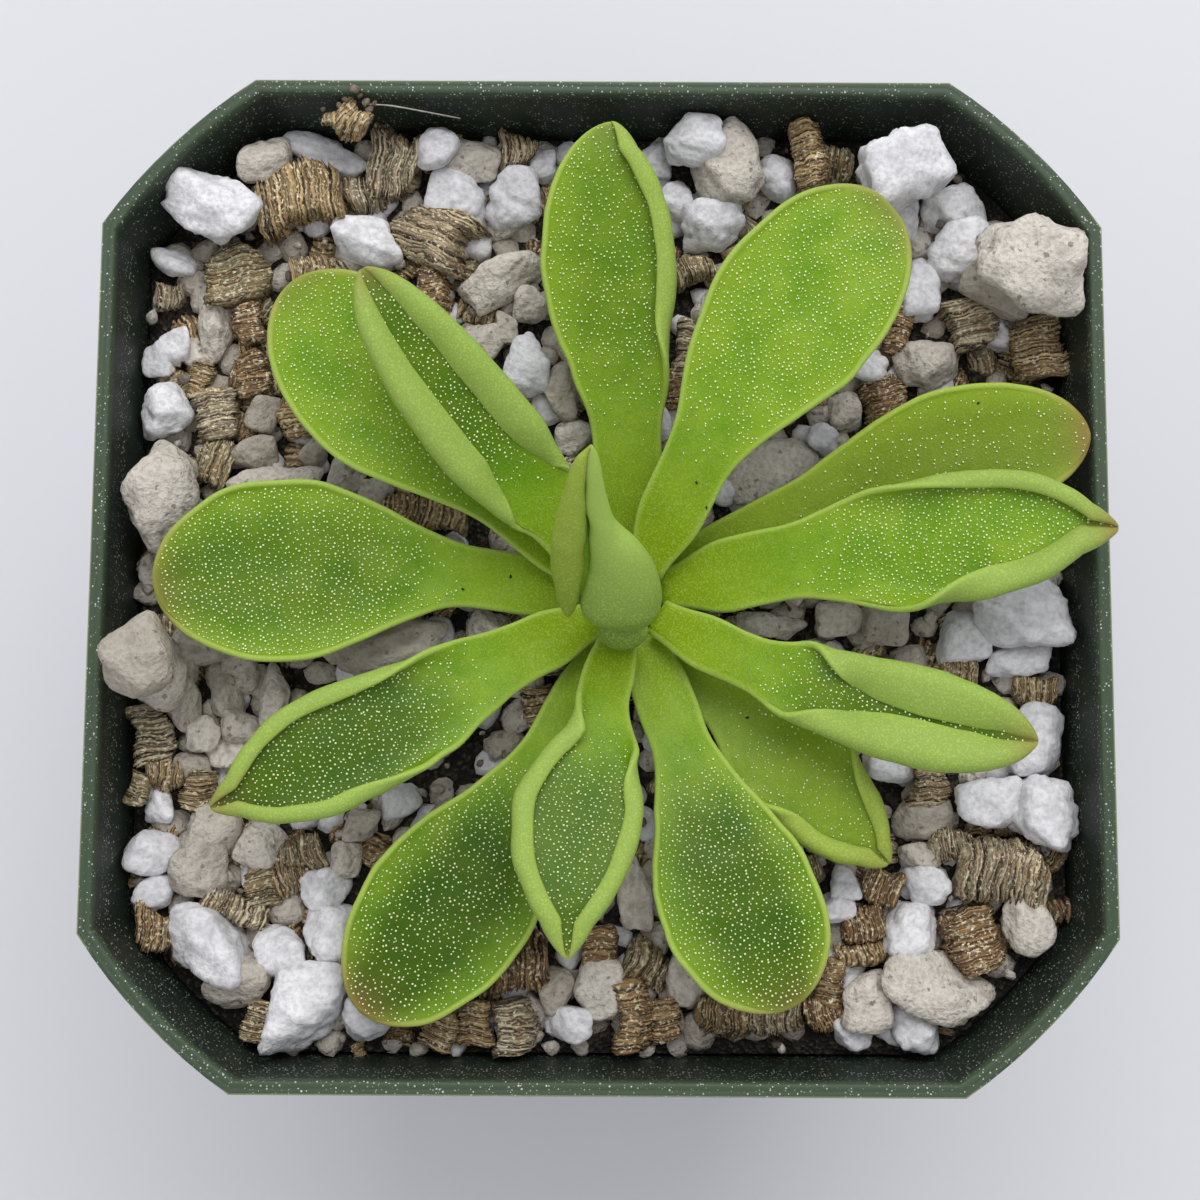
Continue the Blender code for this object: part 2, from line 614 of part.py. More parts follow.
def icosahedron():
    golden = (1 + math.sqrt(5)) / 2
    corners = []
    for a in (-1, 1):
        for b in (-golden, golden):
            corners += [(0, a, b), (a, b, 0), (b, 0, a)]
    corners = unit(np.array(corners, float))
    faces = []
    for i in range(12):
        for j in range(i + 1, 12):
            for k in range(j + 1, 12):
                trio = corners[[i, j, k]]
                if max(np.linalg.norm(trio - np.roll(trio, 1, axis=0), axis=1)) < 1.2:
                    out = np.dot(np.cross(trio[1] - trio[0], trio[2] - trio[0]), trio.sum(0)) > 0
                    faces.append((i, j, k) if out else (i, k, j))
    return corners, faces


def block():
    """A squared grain: the corners of a box, with its faces split into triangles."""
    corners = np.array([(x, y, z) for x in (-1, 1) for y in (-1, 1) for z in (-1, 1)], float)
    quads = ((0, 1, 3, 2), (4, 6, 7, 5), (0, 4, 5, 1), (2, 3, 7, 6), (0, 2, 6, 4), (1, 5, 7, 3))
    return corners * BLOCK_SIZE, [part for q in quads for part in ((q[0], q[1], q[2]), (q[0], q[2], q[3]))]


def stone_points(kind, length, width, turn, rng):
    """One grain round its own centre: rough and rounded, or a squared stack for vermiculite."""
    corners, faces = block() if kind == "vermiculite" else icosahedron()
    corners = corners * rng.uniform(0.86, 1.06, (len(corners), 1))
    corners = corners * (length / 2, width / 2, min(length, width) * STONE_RISE)
    angle = math.radians(turn)
    x = corners[:, 0] * math.cos(angle) - corners[:, 1] * math.sin(angle)
    y = corners[:, 0] * math.sin(angle) + corners[:, 1] * math.cos(angle)
    return np.stack((x, y, corners[:, 2]), 1), faces


def ceiling(x, y, reach, leaf_points):
    """Height of the lowest leaf point above a stone, or the pot's height where there is none."""
    near = np.hypot(leaf_points[:, 0] - x, leaf_points[:, 1] - y) < reach + LEAF_REACH
    return leaf_points[near, 2].min() if near.any() else POT_HEIGHT


def build_mix(surface, leaf_points):
    """The bed with its stones, sunk until they clear the leaves, all fused into one body."""
    rng = np.random.default_rng(SEED + 1)
    bed = mix_bed(surface)
    group = bpy.data.collections.new("stones")
    bpy.context.scene.collection.children.link(group)
    for number, (kind, x, y, length, width, turn) in enumerate(scatter_stones()):
        points, faces = stone_points(kind, length, width, turn, rng)
        x, y = inside_wall(x, y, points)
        rise = points[:, 2].max()
        top = ceiling(x, y, max(length, width) / 2, leaf_points) - STONE_CLEARANCE
        height = min(mix_height(x, y) + STONE_SHOWING * min(length, width), top - rise)
        if height + rise < mix_height(x, y) + LEAST_SHOWING:
            continue
        stone = add_object("stone_%03d" % number, points + (x, y, height), faces, surface, smooth=False)
        group.objects.link(stone)
        bpy.context.collection.objects.unlink(stone)
    apply_boolean(bed, "UNION", "MANIFOLD", collection=group)
    for stone in list(group.objects):
        bpy.data.objects.remove(stone, do_unlink=True)
    bpy.data.collections.remove(group)
    return bed


def main():
    clear_scene()
    plastic = material("pot_plastic", (0.020, 0.040, 0.028), 0.45)
    mineral = material("mineral_mix", (0.60, 0.55, 0.46), 0.90)
    stem = material("crown_tissue", (0.42, 0.48, 0.10), 0.55)
    green = material("leaf_green", (0.16, 0.38, 0.04), 0.35)
    pale = material("young_leaf_green", (0.32, 0.48, 0.15), 0.50)

    build_pot(plastic)
    build_crown(stem)
    leaf_points = []
    for leaf in LEAVES:
        points, faces = leaf_solid(leaf)
        leaf_points.append(points)
        add_object(leaf.name, points, faces, green)
    for leaf in YOUNG_LEAVES:
        points, faces = furled_solid(leaf)
        leaf_points.append(points)
        add_object(leaf.name, points, faces, pale)
    build_mix(mineral, np.concatenate(leaf_points))


if __name__ == "__main__":
    main()
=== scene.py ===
import math
from dataclasses import dataclass
from functools import lru_cache, partial

import bpy
import numpy as np
from mathutils import Euler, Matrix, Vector


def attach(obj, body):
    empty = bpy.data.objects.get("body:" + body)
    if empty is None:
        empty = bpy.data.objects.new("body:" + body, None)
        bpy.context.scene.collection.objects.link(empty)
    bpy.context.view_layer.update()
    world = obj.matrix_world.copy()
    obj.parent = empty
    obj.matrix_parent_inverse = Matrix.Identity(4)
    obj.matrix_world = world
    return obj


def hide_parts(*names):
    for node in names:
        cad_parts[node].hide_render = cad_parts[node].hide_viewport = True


bl_info = {
    "name": "Potted butterwort",
    "version": (1, 0, 0),
    "blender": (4, 5, 0),
    "location": "3D View > Sidebar > Butterwort",
    "description": "Dresses the solids of a potted butterwort with leaves, glands, hairs and loose grains",
    "category": "Object",
}

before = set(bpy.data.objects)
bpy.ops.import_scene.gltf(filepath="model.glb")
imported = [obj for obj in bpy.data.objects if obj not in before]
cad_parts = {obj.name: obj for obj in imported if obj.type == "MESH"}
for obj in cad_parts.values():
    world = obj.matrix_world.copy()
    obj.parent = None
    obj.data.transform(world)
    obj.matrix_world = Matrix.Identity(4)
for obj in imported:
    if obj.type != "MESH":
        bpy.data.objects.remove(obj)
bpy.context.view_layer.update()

# Lengths are in millimetres with heights counted from the plane of the pot's rim, as in the part's
# source. `to_metres` turns them into Blender's metres counted from the base.
MM = 0.001
RIM_HEIGHT = 70.0

# Pot
RIM_HALF_WIDTH = 38.1
BASE_HALF_WIDTH = 27.4
BAND_HEIGHT = 13.0
BAND_STEP = 1.1
BAND_FOOT = 37.55
LEDGE = 0.8 - BAND_HEIGHT
LEDGE_HEIGHT = 0.9
WALL = 1.1
FLOOR = 1.6
CORNER_CUT = 0.30
CORNER_BOW = 0.02
# How far inside the outline and how high the rim's rounded top runs, with its shallow groove
RIM_PROFILE = (
    (0.0, -0.35), (0.02, -0.16), (0.09, -0.05), (0.20, 0.0), (0.42, -0.01), (0.50, -0.05), (0.58, -0.02),
    (0.80, -0.02), (0.96, -0.06), (1.06, -0.16), (WALL, -0.35),
)
DRAIN_RADIUS = 4.0
DRAIN_OFFSET = 16.5
DRAIN_SIDES = 40

# Mix
GAP = 0.35
MIX_EDGE = -7.3
MIX_DIP = 1.7

# Crown
CROWN_X = 2.3
CROWN_Y = -1.7
CROWN_ROOM = 4.0

# Height of a row of a net of triangles, as a share of its spacing
NET_ROW = 0.87

# Blades, with angles in degrees
NECK_THICKNESS = 1.0
EDGE_THICKNESS = 0.5
THINNING = 0.6  # share of its extra thickness that a midrib loses up to the tip
SEAT_HALF_WIDTH = 1.5
SEAT_SHARE = 0.16  # share of the length over which the seat widens to the neck
CHANNEL = 18.0  # bend of a neck's half section
CUP = 8.0  # bend of a blade's half section
LIP = 60.0  # rise of a margin that doesn't roll
LIP_START = 0.84  # share of the half width where the lip starts
LIP_LOST_AT = 125.0  # roll that leaves no lip
TIGHTEST_ROLL = 0.28  # least radius of a roll
FLAP_CURL = 50.0  # further bend of the flap beyond a roll
SHORT_FLAP = 1.5  # width from which a flap curls less
MOST_ROLLED = 0.75  # most of the half width that roll and flap take
LEAST_ROLLED = 0.1
SLIM_HALF_WIDTH = 4.0  # half width below which a blade is thinner and rolls tighter
GLANDS_END = 0.93  # share of the half width that bears glands where nothing rolls
TIP_REACH = 1.6  # length of the brown tip
LEAF_ROWS = 66
GRID_END = 0.995


@dataclass(frozen=True)
class Tier:
    """A whorl of leaves: where it starts at the crown and how steeply it leaves."""
    radius: float
    height: float
    rise: float
    fall: float


LOWER = Tier(3.0, -6.8, 12, 6)
MIDDLE = Tier(2.7, -5.3, 16, 6)
UPPER = Tier(2.5, -3.8, 22, 8)


@dataclass(frozen=True)
class Margin:
    """One half of a blade: flattened half width, and how its edge rolls over.

    roll is the turn of the edge in degrees, from the share `start` of the leaf's length on, and it is
    spent between the shares `fold` and `end` of the half width. A margin that widens starts to roll
    as a narrow lip, and its flap grows with the blade.
    """
    width: float
    roll: float = 0.0
    start: float = 0.45
    fold: float = 0.5
    end: float = 0.82
    widens: bool = False


@dataclass(frozen=True)
class Leaf:
    """A spreading leaf, from its seat on the crown to its tip.

    seat, leave and arrive are directions in degrees from +X. shade is painted shade: it darkens the
    green where less light falls on the leaf. blush is the brown at the tip and warm turns the green to
    olive, all from 0 to 1. drops is the share of glands that hold a drop.
    """
    name: str
    tier: Tier
    seat: float
    leave: float
    tip: tuple
    arrive: float
    left: Margin
    right: Margin
    neck: float = 2.4
    neck_at: float = 0.28
    widest_at: float = 0.70
    tip_power: float = 2.4
    tip_round: float = 0.6
    ramp: float = 0.25
    rise: float = None
    fall: float = None
    shade: float = 0.0
    blush: float = 0.2
    warm: float = 0.2
    drops: float = 1.0


# The shade of each leaf is painted shade, more where less light falls on the leaf.
LEAVES = (
    Leaf("leaf_01", LOWER, 88, 92, (0.6, 34.4, 1.0), 95, Margin(6.1), Margin(5.8, 190, 0.36, 0.55, 0.97),
         neck=2.7, widest_at=0.66, shade=0.35, warm=0.3, drops=0.7),
    Leaf("leaf_02", UPPER, 64, 66, (21.6, 27.1, 3.0), 38, Margin(6.3), Margin(6.9),
         neck=2.6, neck_at=0.25, widest_at=0.68, tip_round=0.5, rise=20, fall=4, blush=0.6, drops=0.85),
    Leaf("leaf_03", LOWER, 30, 30, (36.8, 10.6, 0.0), 2, Margin(5.2), Margin(5.4),
         neck_at=0.32, shade=0.25, blush=1.0, warm=0.7, drops=0.3),
    Leaf("leaf_04", MIDDLE, 22, 11, (37.4, 3.0, 4.0), -3, Margin(5.9, 195, 0.40, 0.61, 0.97),
         Margin(7.2, 185, 0.46, 0.54, 0.82), neck=2.9, tip_power=2.2, tip_round=0.7, ramp=0.34,
         shade=0.05, blush=0.9),
    Leaf("leaf_05", UPPER, -30, -32, (31.0, -12.4, 5.0), -9, Margin(7.3, 186, 0.34, 0.32, 0.70, True),
         Margin(7.3, 186, 0.32, 0.32, 0.70, True), neck=2.1, tip_power=2.2, tip_round=0.7, ramp=0.22,
         shade=0.8, blush=0.7),
    Leaf("leaf_06", LOWER, -48, -43, (21.5, -21.4, -1.4), -43, Margin(4.9, 185, 0.60, 0.58, 0.90),
         Margin(5.3, 185, 0.52, 0.52, 0.88), neck=2.3, blush=0.35, warm=0.55, drops=0.4),
    Leaf("leaf_07", MIDDLE, -68, -72, (14.2, -31.4, 1.0), -62, Margin(5.6), Margin(6.4),
         neck=2.3, widest_at=0.72, rise=14, fall=2, shade=0.87, blush=0.5),
    Leaf("leaf_08", UPPER, -106, -106, (-2.1, -27.5, 6.0), -89, Margin(6.0, 200, 0.32, 0.60, 0.97),
         Margin(6.3, 200, 0.18, 0.57, 0.97), neck=2.0, neck_at=0.20, widest_at=0.60, tip_power=2.1,
         tip_round=0.7, shade=0.76),
    Leaf("leaf_09", LOWER, -116, -117, (-17.7, -32.0, -1.0), -140, Margin(6.1), Margin(6.6),
         shade=1.0, blush=0.8, drops=0.8),
    Leaf("leaf_10", MIDDLE, 207, 204, (-27.8, -17.4, 3.0), 205, Margin(5.9, 195, 0.42, 0.63, 0.97),
         Margin(5.6, 195, 0.30, 0.60, 0.97), neck_at=0.18, tip_power=2.1, tip_round=0.7, ramp=0.34,
         shade=0.9, blush=0.7),
    Leaf("leaf_11", LOWER, 172, 168, (-32.9, -1.5, 1.0), 194, Margin(7.0), Margin(7.0),
         shade=0.64, blush=0.6),
    Leaf("leaf_12", MIDDLE, 146, 139, (-22.8, 22.2, 1.0), 120, Margin(6.5), Margin(6.5),
         shade=0.05, blush=0.5, drops=0.85),
    Leaf("leaf_13", UPPER, 128, 135, (-17.1, 21.0, 7.0), 122, Margin(6.9, 186, 0.16, 0.39, 0.76, True),
         Margin(7.1, 186, 0.12, 0.41, 0.77, True), neck=2.3, neck_at=0.20, widest_at=0.48,
         tip_power=2.3, tip_round=0.6, ramp=0.22, shade=0.68, blush=0.6),
)


# Small helpers

def linear(code):
    """Linear RGB of a colour written as #RRGGBB."""
    parts = [int(code[k:k + 2], 16) / 255 for k in (1, 3, 5)]
    return tuple(v / 12.92 if v <= 0.04045 else ((v + 0.055) / 1.055) ** 2.4 for v in parts)


def to_metres(points):
    """Millimetres from the rim plane, as metres from the base."""
    return (np.asarray(points, float) + (0.0, 0.0, RIM_HEIGHT)) * MM


def unit(vectors):
    return vectors / np.maximum(np.linalg.norm(vectors, axis=-1, keepdims=True), 1e-12)


def ease(share):
    """0 below 0, 1 above 1 and a smooth step between them."""
    share = np.clip(share, 0.0, 1.0)
    return share * share * (3 - 2 * share)


def direction(azimuth, elevation):
    turn, lift = math.radians(azimuth), math.radians(elevation)
    return np.array((math.cos(lift) * math.cos(turn), math.cos(lift) * math.sin(turn), math.sin(lift)))


def ripple(points, length, seed, waves=9):
    """Smooth random height from about -1 to 1: the sum of plane sine waves about `length` mm long."""
    rng = np.random.default_rng(seed)
    way = unit(rng.normal(size=(waves, 3)))
    turns = 2 * math.pi / (length * rng.uniform(0.7, 1.5, waves))
    phase = rng.uniform(0, 2 * math.pi, waves)
    return np.sin(points @ (way * turns[:, None]).T + phase).sum(-1) / math.sqrt(waves)


def store(mesh, key, value):
    """Put one vector for each point of a mesh where its material can read it."""
    made = mesh.attributes.new(key, "FLOAT_VECTOR", "POINT")
    made.data.foreach_set("vector", value.astype(np.float32).ravel())


def add_piece(name, skin, surface, nodes=(), smooth=True):
    """One piece of the plant or pot from its skin, riding on the part's body.

    A skin is an array of points in mm, a list of arrays of faces, and the arrays of values that the
    piece's material reads, one for each point.
    """
    points, faces, values = skin
    mesh = bpy.data.meshes.new(name)
    mesh.vertices.add(len(points))
    mesh.vertices.foreach_set("co", to_metres(points).astype(np.float32).ravel())
    corners = np.concatenate([part.ravel() for part in faces])
    sizes = np.concatenate([np.full(len(part), part.shape[1]) for part in faces])
    mesh.loops.add(len(corners))
    mesh.loops.foreach_set("vertex_index", corners.astype(np.int32))
    mesh.polygons.add(len(sizes))
    mesh.polygons.foreach_set("loop_start", (np.cumsum(sizes) - sizes).astype(np.int32))
    mesh.update(calc_edges=True)
    for key, value in values.items():
        store(mesh, key, value)
    mesh.materials.append(surface)
    if smooth:
        mesh.shade_smooth()
    if mesh.validate():
        raise RuntimeError(f"{name} has bad faces")
    made = bpy.data.objects.new(name, mesh)
    bpy.context.scene.collection.objects.link(made)
    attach(made, "root")
    if nodes:
        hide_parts(*nodes)
    return made


def ring_faces(rows, cols):
    """Quads between neighbouring closed rings of points."""
    row, col = np.meshgrid(np.arange(rows - 1), np.arange(cols), indexing="ij")
    a = (row * cols + col).ravel()
    d = (row * cols + (col + 1) % cols).ravel()
    return np.stack((a, d, d + cols, a + cols), 1)


def with_ends(rings):
    """The rings' points or values in a row, then the mean of the first ring and of the last."""
    return np.concatenate((rings.reshape(-1, 3), rings[0].mean(0)[None], rings[-1].mean(0)[None]))


def closed_loft(rings, values=None):
    """Closed skin over rings of points, with a point in the middle of each end, and its rings' values."""
    rows, cols = rings.shape[:2]
    ring = np.arange(cols)
    after = (ring + 1) % cols
    foot, head = np.full(cols, rows * cols), np.full(cols, rows * cols + 1)
    top = (rows - 1) * cols
    faces = [ring_faces(rows, cols), np.stack((foot, after, ring), 1),
             np.stack((head, top + ring, top + after), 1)]
    return with_ends(rings), faces, {key: with_ends(value) for key, value in (values or {}).items()}


def joined(skins):
    """Several skins as one: each one's faces count on from the points before it."""
    starts = np.cumsum([0] + [len(skin[0]) for skin in skins])
    faces = [part + start for skin, start in zip(skins, starts) for part in skin[1]]
    values = {key: np.concatenate([skin[2][key] for skin in skins]) for key in skins[0][2]}
    return np.concatenate([skin[0] for skin in skins]), faces, values


def repeated(points, faces, **values):
    """One skin of many copies, from the points and values of each and the faces that all share."""
    step = np.arange(len(points))[:, None, None] * points.shape[1]
    return (points.reshape(-1, 3), [(part[None] + step).reshape(-1, part.shape[1]) for part in faces],
            {key: value.reshape(-1, 3) for key, value in values.items()})


# Blades

def curve_between(start, leaving, end, arriving, shares):
    """Hermite curve through two points with a given direction at each, its speed their distance."""
    start, end = np.array(start, float), np.array(end, float)
    speed = np.linalg.norm(end - start)
    t = shares[:, None]
    return ((2 * t**3 - 3 * t**2 + 1) * start + (t**3 - 2 * t**2 + t) * speed * leaving
            + (3 * t**2 - 2 * t**3) * end + (t**3 - t**2) * speed * arriving)


def midrib(leaf, shares):
    """Points of the midrib at shares of its length, the sideways and upward directions, and its length."""
    tier = leaf.tier
    seat = math.radians(leaf.seat)
    start = (CROWN_X + tier.radius * math.cos(seat), CROWN_Y + tier.radius * math.sin(seat), tier.height)
    rise = tier.rise if leaf.rise is None else leaf.rise
    fall = tier.fall if leaf.fall is None else leaf.fall
    fine = curve_between(start, direction(leaf.leave, rise), leaf.tip, direction(leaf.arrive, fall),
                         np.linspace(0, 1, 801))
    along = np.concatenate(([0], np.cumsum(np.linalg.norm(np.diff(fine, axis=0), axis=1))))
    ahead = unit(np.gradient(fine, axis=0))
    at = shares * along[-1]
    points = np.stack([np.interp(at, along, fine[:, k]) for k in range(3)], 1)
    heading = unit(np.stack([np.interp(at, along, ahead[:, k]) for k in range(3)], 1))
    sideways = unit(np.stack((-heading[:, 1], heading[:, 0], 0 * heading[:, 0]), 1))
    return points, sideways, np.cross(heading, sideways), along[-1]


def half_width(leaf, margin, shares):
    """Flattened half width along a leaf: narrow at the crown, a neck, a paddle and a blunt tip."""
    width = leaf.neck + (margin.width - leaf.neck) * ease((shares - leaf.neck_at)
                                                          / (leaf.widest_at - leaf.neck_at))
    width = width + (SEAT_HALF_WIDTH - leaf.neck) * (1 - ease(shares / SEAT_SHARE))
    beyond = np.clip((shares - leaf.widest_at) / (1 - leaf.widest_at), 0, 1)
    seed = sum(map(ord, leaf.name)) + int(10 * margin.width)
    wave = ripple(np.stack((shares * 40, 0 * shares, 0 * shares), 1), 5.0, seed) * 0.012
    return width * (1 + wave) * (1 - beyond**leaf.tip_power)**leaf.tip_round


def rolled_part(leaf, margin, shares):
    """Shares of the half width between which the edge rolls over, for each share of the length.

    Where the blade is narrower, the roll and its flap keep their size in mm, so that they meet at
    the tip, but a flap never crosses the midrib. A margin that widens keeps the part inside the roll
    instead up to the blade's widest place, and its shares from there on.
    """
    flap = (1 - margin.end) / (1 - margin.fold)
    widest = 1 / (1 + flap - (1 - flap) / math.radians(max(margin.roll, 90)))
    width = np.maximum(half_width(leaf, margin, shares), 0.02)
    outer = np.minimum((1 - margin.fold) * margin.width / width, min(MOST_ROLLED, 0.97 * widest))
    if margin.widens:
        growing = np.maximum(1 - margin.fold * margin.width / width, LEAST_ROLLED)
        outer = np.where(shares < leaf.widest_at, np.minimum(growing, outer), 1 - margin.fold)
    return 1 - outer, 1 - flap * outer


def half_section(leaf, margin, shares, across):
    """Sideways and upward offsets of one half of the blade, and its half width.

    The tangent's angle is summed from the midrib outwards: a shallow channel in the neck, a slight
    cup in the blade, the roll between `fold` and `end`, and a raised lip where nothing rolls.
    """
    width = np.maximum(half_width(leaf, margin, shares)[:, None], 0.02)
    fold, end = (part[:, None] for part in rolled_part(leaf, margin, shares))
    spent = end - fold
    turn = math.radians(margin.roll) * ease((shares - margin.start) / leaf.ramp)[:, None]
    tightest = TIGHTEST_ROLL * np.clip(width / SLIM_HALF_WIDTH, 0.2, 1)
    turn = np.minimum(turn, spent * width / tightest)
    blade_share = ease((shares - 0.25) / 0.3)[:, None]
    lip = np.minimum(math.radians(LIP) * blade_share, (1 - LIP_START) * width / 0.5)
    lip = lip * (1 - np.minimum(turn / math.radians(LIP_LOST_AT), 1))
    bend = math.radians(CUP) * blade_share + math.radians(CHANNEL) * (1 - blade_share)
    curl = math.radians(FLAP_CURL) * np.minimum(turn / math.pi, 1)
    curl = curl * np.minimum(1, SHORT_FLAP / ((1 - end) * width))**2
    flap = np.clip((across - end) / (1 - end), 0, 1)
    angle = (bend * across + turn * ease((across - fold) / spent)
             + curl * flap
             + lip * ease((across - LIP_START) / (1 - LIP_START)))
    middle = (angle[:, 1:] + angle[:, :-1]) / 2
    step = np.diff(across, axis=1)
    zero = np.zeros_like(width)
    out = np.concatenate((zero, np.cumsum(np.cos(middle) * step, 1)), 1) * width
    up = np.concatenate((zero, np.cumsum(np.sin(middle) * step, 1)), 1) * width
    return out, up, width


def thickness(leaf, shares, share):
    """Thickness of a blade: most at the midrib near the crown, least at its margins and its slim tip."""
    slim = np.minimum(half_width(leaf, leaf.left, shares), half_width(leaf, leaf.right, shares))
    thick = EDGE_THICKNESS + ((NECK_THICKNESS - EDGE_THICKNESS) * (1 - share**2)
                              * (1 - THINNING * shares[:, None]))
    rolled = ease((shares - 0.5) / 0.2) if leaf.left.roll or leaf.right.roll else 0 * shares
    return thick * (1 - rolled * (1 - np.clip(slim / SLIM_HALF_WIDTH, 0.3, 1)))[:, None]


def blade_sheet(leaf, shares, left_across, right_across):
    """Middle surface of a blade from its right margin to its left, with gentle dents a few mm wide.

    Returns the points, the upward normals and the shares of the half width, negative on the right.
    """
    points, sideways, upward, length = midrib(leaf, shares)
    left_out, left_up, left_width = half_section(leaf, leaf.left, shares, left_across)
    right_out, right_up, right_width = half_section(leaf, leaf.right, shares, right_across)
    out = np.concatenate((-right_out[:, :0:-1], left_out), 1)[..., None]
    up = np.concatenate((right_up[:, :0:-1], left_up), 1)[..., None]
    share = np.concatenate((-right_across[:, :0:-1], left_across), 1)
    across = np.where(share < 0, share * right_width, share * left_width)
    sheet = points[:, None] + out * sideways[:, None] + up * upward[:, None]
    normal = unit(np.cross(np.gradient(sheet, axis=0), np.gradient(sheet, axis=1)))
    seed = sum(map(ord, leaf.name))
    flat = np.stack((across, np.broadcast_to(shares[:, None] * length, across.shape), 0 * across), -1)
    dents = 0.055 * ripple(flat, 4.0, seed) + 0.02 * ripple(flat, 1.4, seed + 1)
    dents = dents * ease(shares / 0.2)[:, None] * (1 - shares**8)[:, None]
    return sheet + normal * dents[..., None], normal, share


def half_columns(leaf, margin, shares):
    """Shares of the half width of a blade's lines of points, drawn together in a roll and at the edge."""
    if margin.roll:
        fold, end = rolled_part(leaf, margin, shares)
        inner = np.concatenate((np.linspace(0 * fold, fold, 7), np.linspace(fold, end, 11)[1:],
                                np.linspace(end, 1 + 0 * end, 4)[1:])).T
    else:
        inner = np.concatenate((np.linspace(0, 0.8, 9), np.linspace(0.8, 1, 7)[1:]))[None]
    width = np.maximum(half_width(leaf, margin, shares), 0.02)
    rim = np.minimum(EDGE_THICKNESS / 2 / width, 0.35)[:, None]
    edge = 1 - rim * (1 - np.sin(np.linspace(0, math.pi / 2, 5)[1:]))[None]
    return np.concatenate((inner * (1 - rim), edge), 1)


@lru_cache(maxsize=None)
def blade_skin(leaf):
    """Closed skin of a blade, with the values that its material reads.

    Each ring runs over the upper face from the right margin to the left and back underneath. The
    thickness falls from the midrib outwards, and ends in a half round at the margin and the tip.
    """
    shares = 1 - (1 - np.linspace(0, 1, LEAF_ROWS))**1.5
    shares[-1] = 0.9996
    left_across, right_across = (half_columns(leaf, m, shares) for m in (leaf.left, leaf.right))
    sheet, normal, share = blade_sheet(leaf, shares, left_across, right_across)
    length = midrib(leaf, shares)[3]
    width = np.where(share < 0, half_width(leaf, leaf.right, shares)[:, None],
                     half_width(leaf, leaf.left, shares)[:, None])
    thick = thickness(leaf, shares, share)
    inwards = np.minimum((1 - np.abs(share)) * width, (1 - shares[:, None]) * length * 0.8)
    rounding = np.sqrt(1 - (1 - np.clip(inwards / (EDGE_THICKNESS / 2), 0, 1))**2)
    offset = normal * (thick * rounding / 2)[..., None]
    rings = np.concatenate((sheet + offset, (sheet - offset)[:, -2:0:-1]), 1)
    upper = ease(inwards / 0.3 + 0.15)
    edge = 1 - ease(inwards / 0.55)
    above = np.stack([np.concatenate((upper, 0 * upper[:, -2:0:-1]), 1)] * 3, -1)
    base = (1 - ease((shares - 0.02) / 0.42))[:, None] + 0 * share
    tip = (np.exp(-((1 - shares[:, None]) * length / TIP_REACH)**1.4)
           + 0.35 * edge * ease((shares[:, None] - 0.75) * 4))
    zone = wrap(np.stack((base, leaf.blush * np.clip(tip, 0, 1), edge), -1))
    # Painted shade: core darkens the upper face's middle from mid-length on, by the leaf's shade, and the
    # light border is dimmed with it.
    core = ease((shares - 0.28) / 0.3)[:, None] * (1 - 0.6 * ease((np.abs(share) - 0.3) / 0.65))
    border = ease((np.abs(share) - 0.45) / 0.55) * ease((shares - 0.2) / 0.3)[:, None]
    border = border * (1 - 0.8 * leaf.shade)
    mood = wrap(np.stack((leaf.shade * core, leaf.warm + 0 * core, border), -1))
    mood[..., 0] *= above[..., 0]
    return closed_loft(rings, {"above": above, "zone": zone, "mood": mood})


def wrap(grid):
    """Values of the upper face carried round to the lower one, in the order of the skin's rings."""
    return np.concatenate((grid, grid[:, -2:0:-1]), 1)


@lru_cache(maxsize=None)
def upper_grid(leaf):
    """A blade's upper face on an even grid of shares, to place glands and hairs on."""
    shares = np.linspace(0, GRID_END, 160)
    even = np.broadcast_to(np.linspace(0, 1, 61), (160, 61))
    sheet, normal, share = blade_sheet(leaf, shares, even, even)
    return sheet + normal * (thickness(leaf, shares, share) / 2)[..., None], normal


def on_blade(leaf, shares, across):
    """Points and normals of the upper face at shares along and across, between the grid's four corners."""
    face, normal = upper_grid(leaf)
    rows, cols = face.shape[:2]
    r = np.clip(shares / GRID_END * (rows - 1), 0, rows - 1.001)
    c = np.clip((across + 1) / 2 * (cols - 1), 0, cols - 1.001)
    i, j = r.astype(int), c.astype(int)
    u, v = (r - i)[:, None], (c - j)[:, None]

    def mixed(grid):
        return ((1 - u) * ((1 - v) * grid[i, j] + v * grid[i, j + 1])
                + u * ((1 - v) * grid[i + 1, j] + v * grid[i + 1, j + 1]))

    return mixed(face), unit(mixed(normal))


# Glands and hairs

# The first blade's seeds, how far a drop's middle stands off the skin as a share of its radius, and half
# the width in mm of the net of glands
DROP_SEED = 100
HAIR_SEED = 200
DROP_LIFT = 0.75
WIDEST_HALF = 9.0


def open_share(leaf, margin, shares):
    """Share of the half width with glands: up to the margin, or to where the roll or its flap lies."""
    if not margin.roll:
        return np.full_like(shares, GLANDS_END)
    fold, end = rolled_part(leaf, margin, shares)
    under = fold + (end - fold) / math.radians(margin.roll) - (1 - end)
    return GLANDS_END - (GLANDS_END - np.minimum(fold, under)) * ease((shares - margin.start) / leaf.ramp)


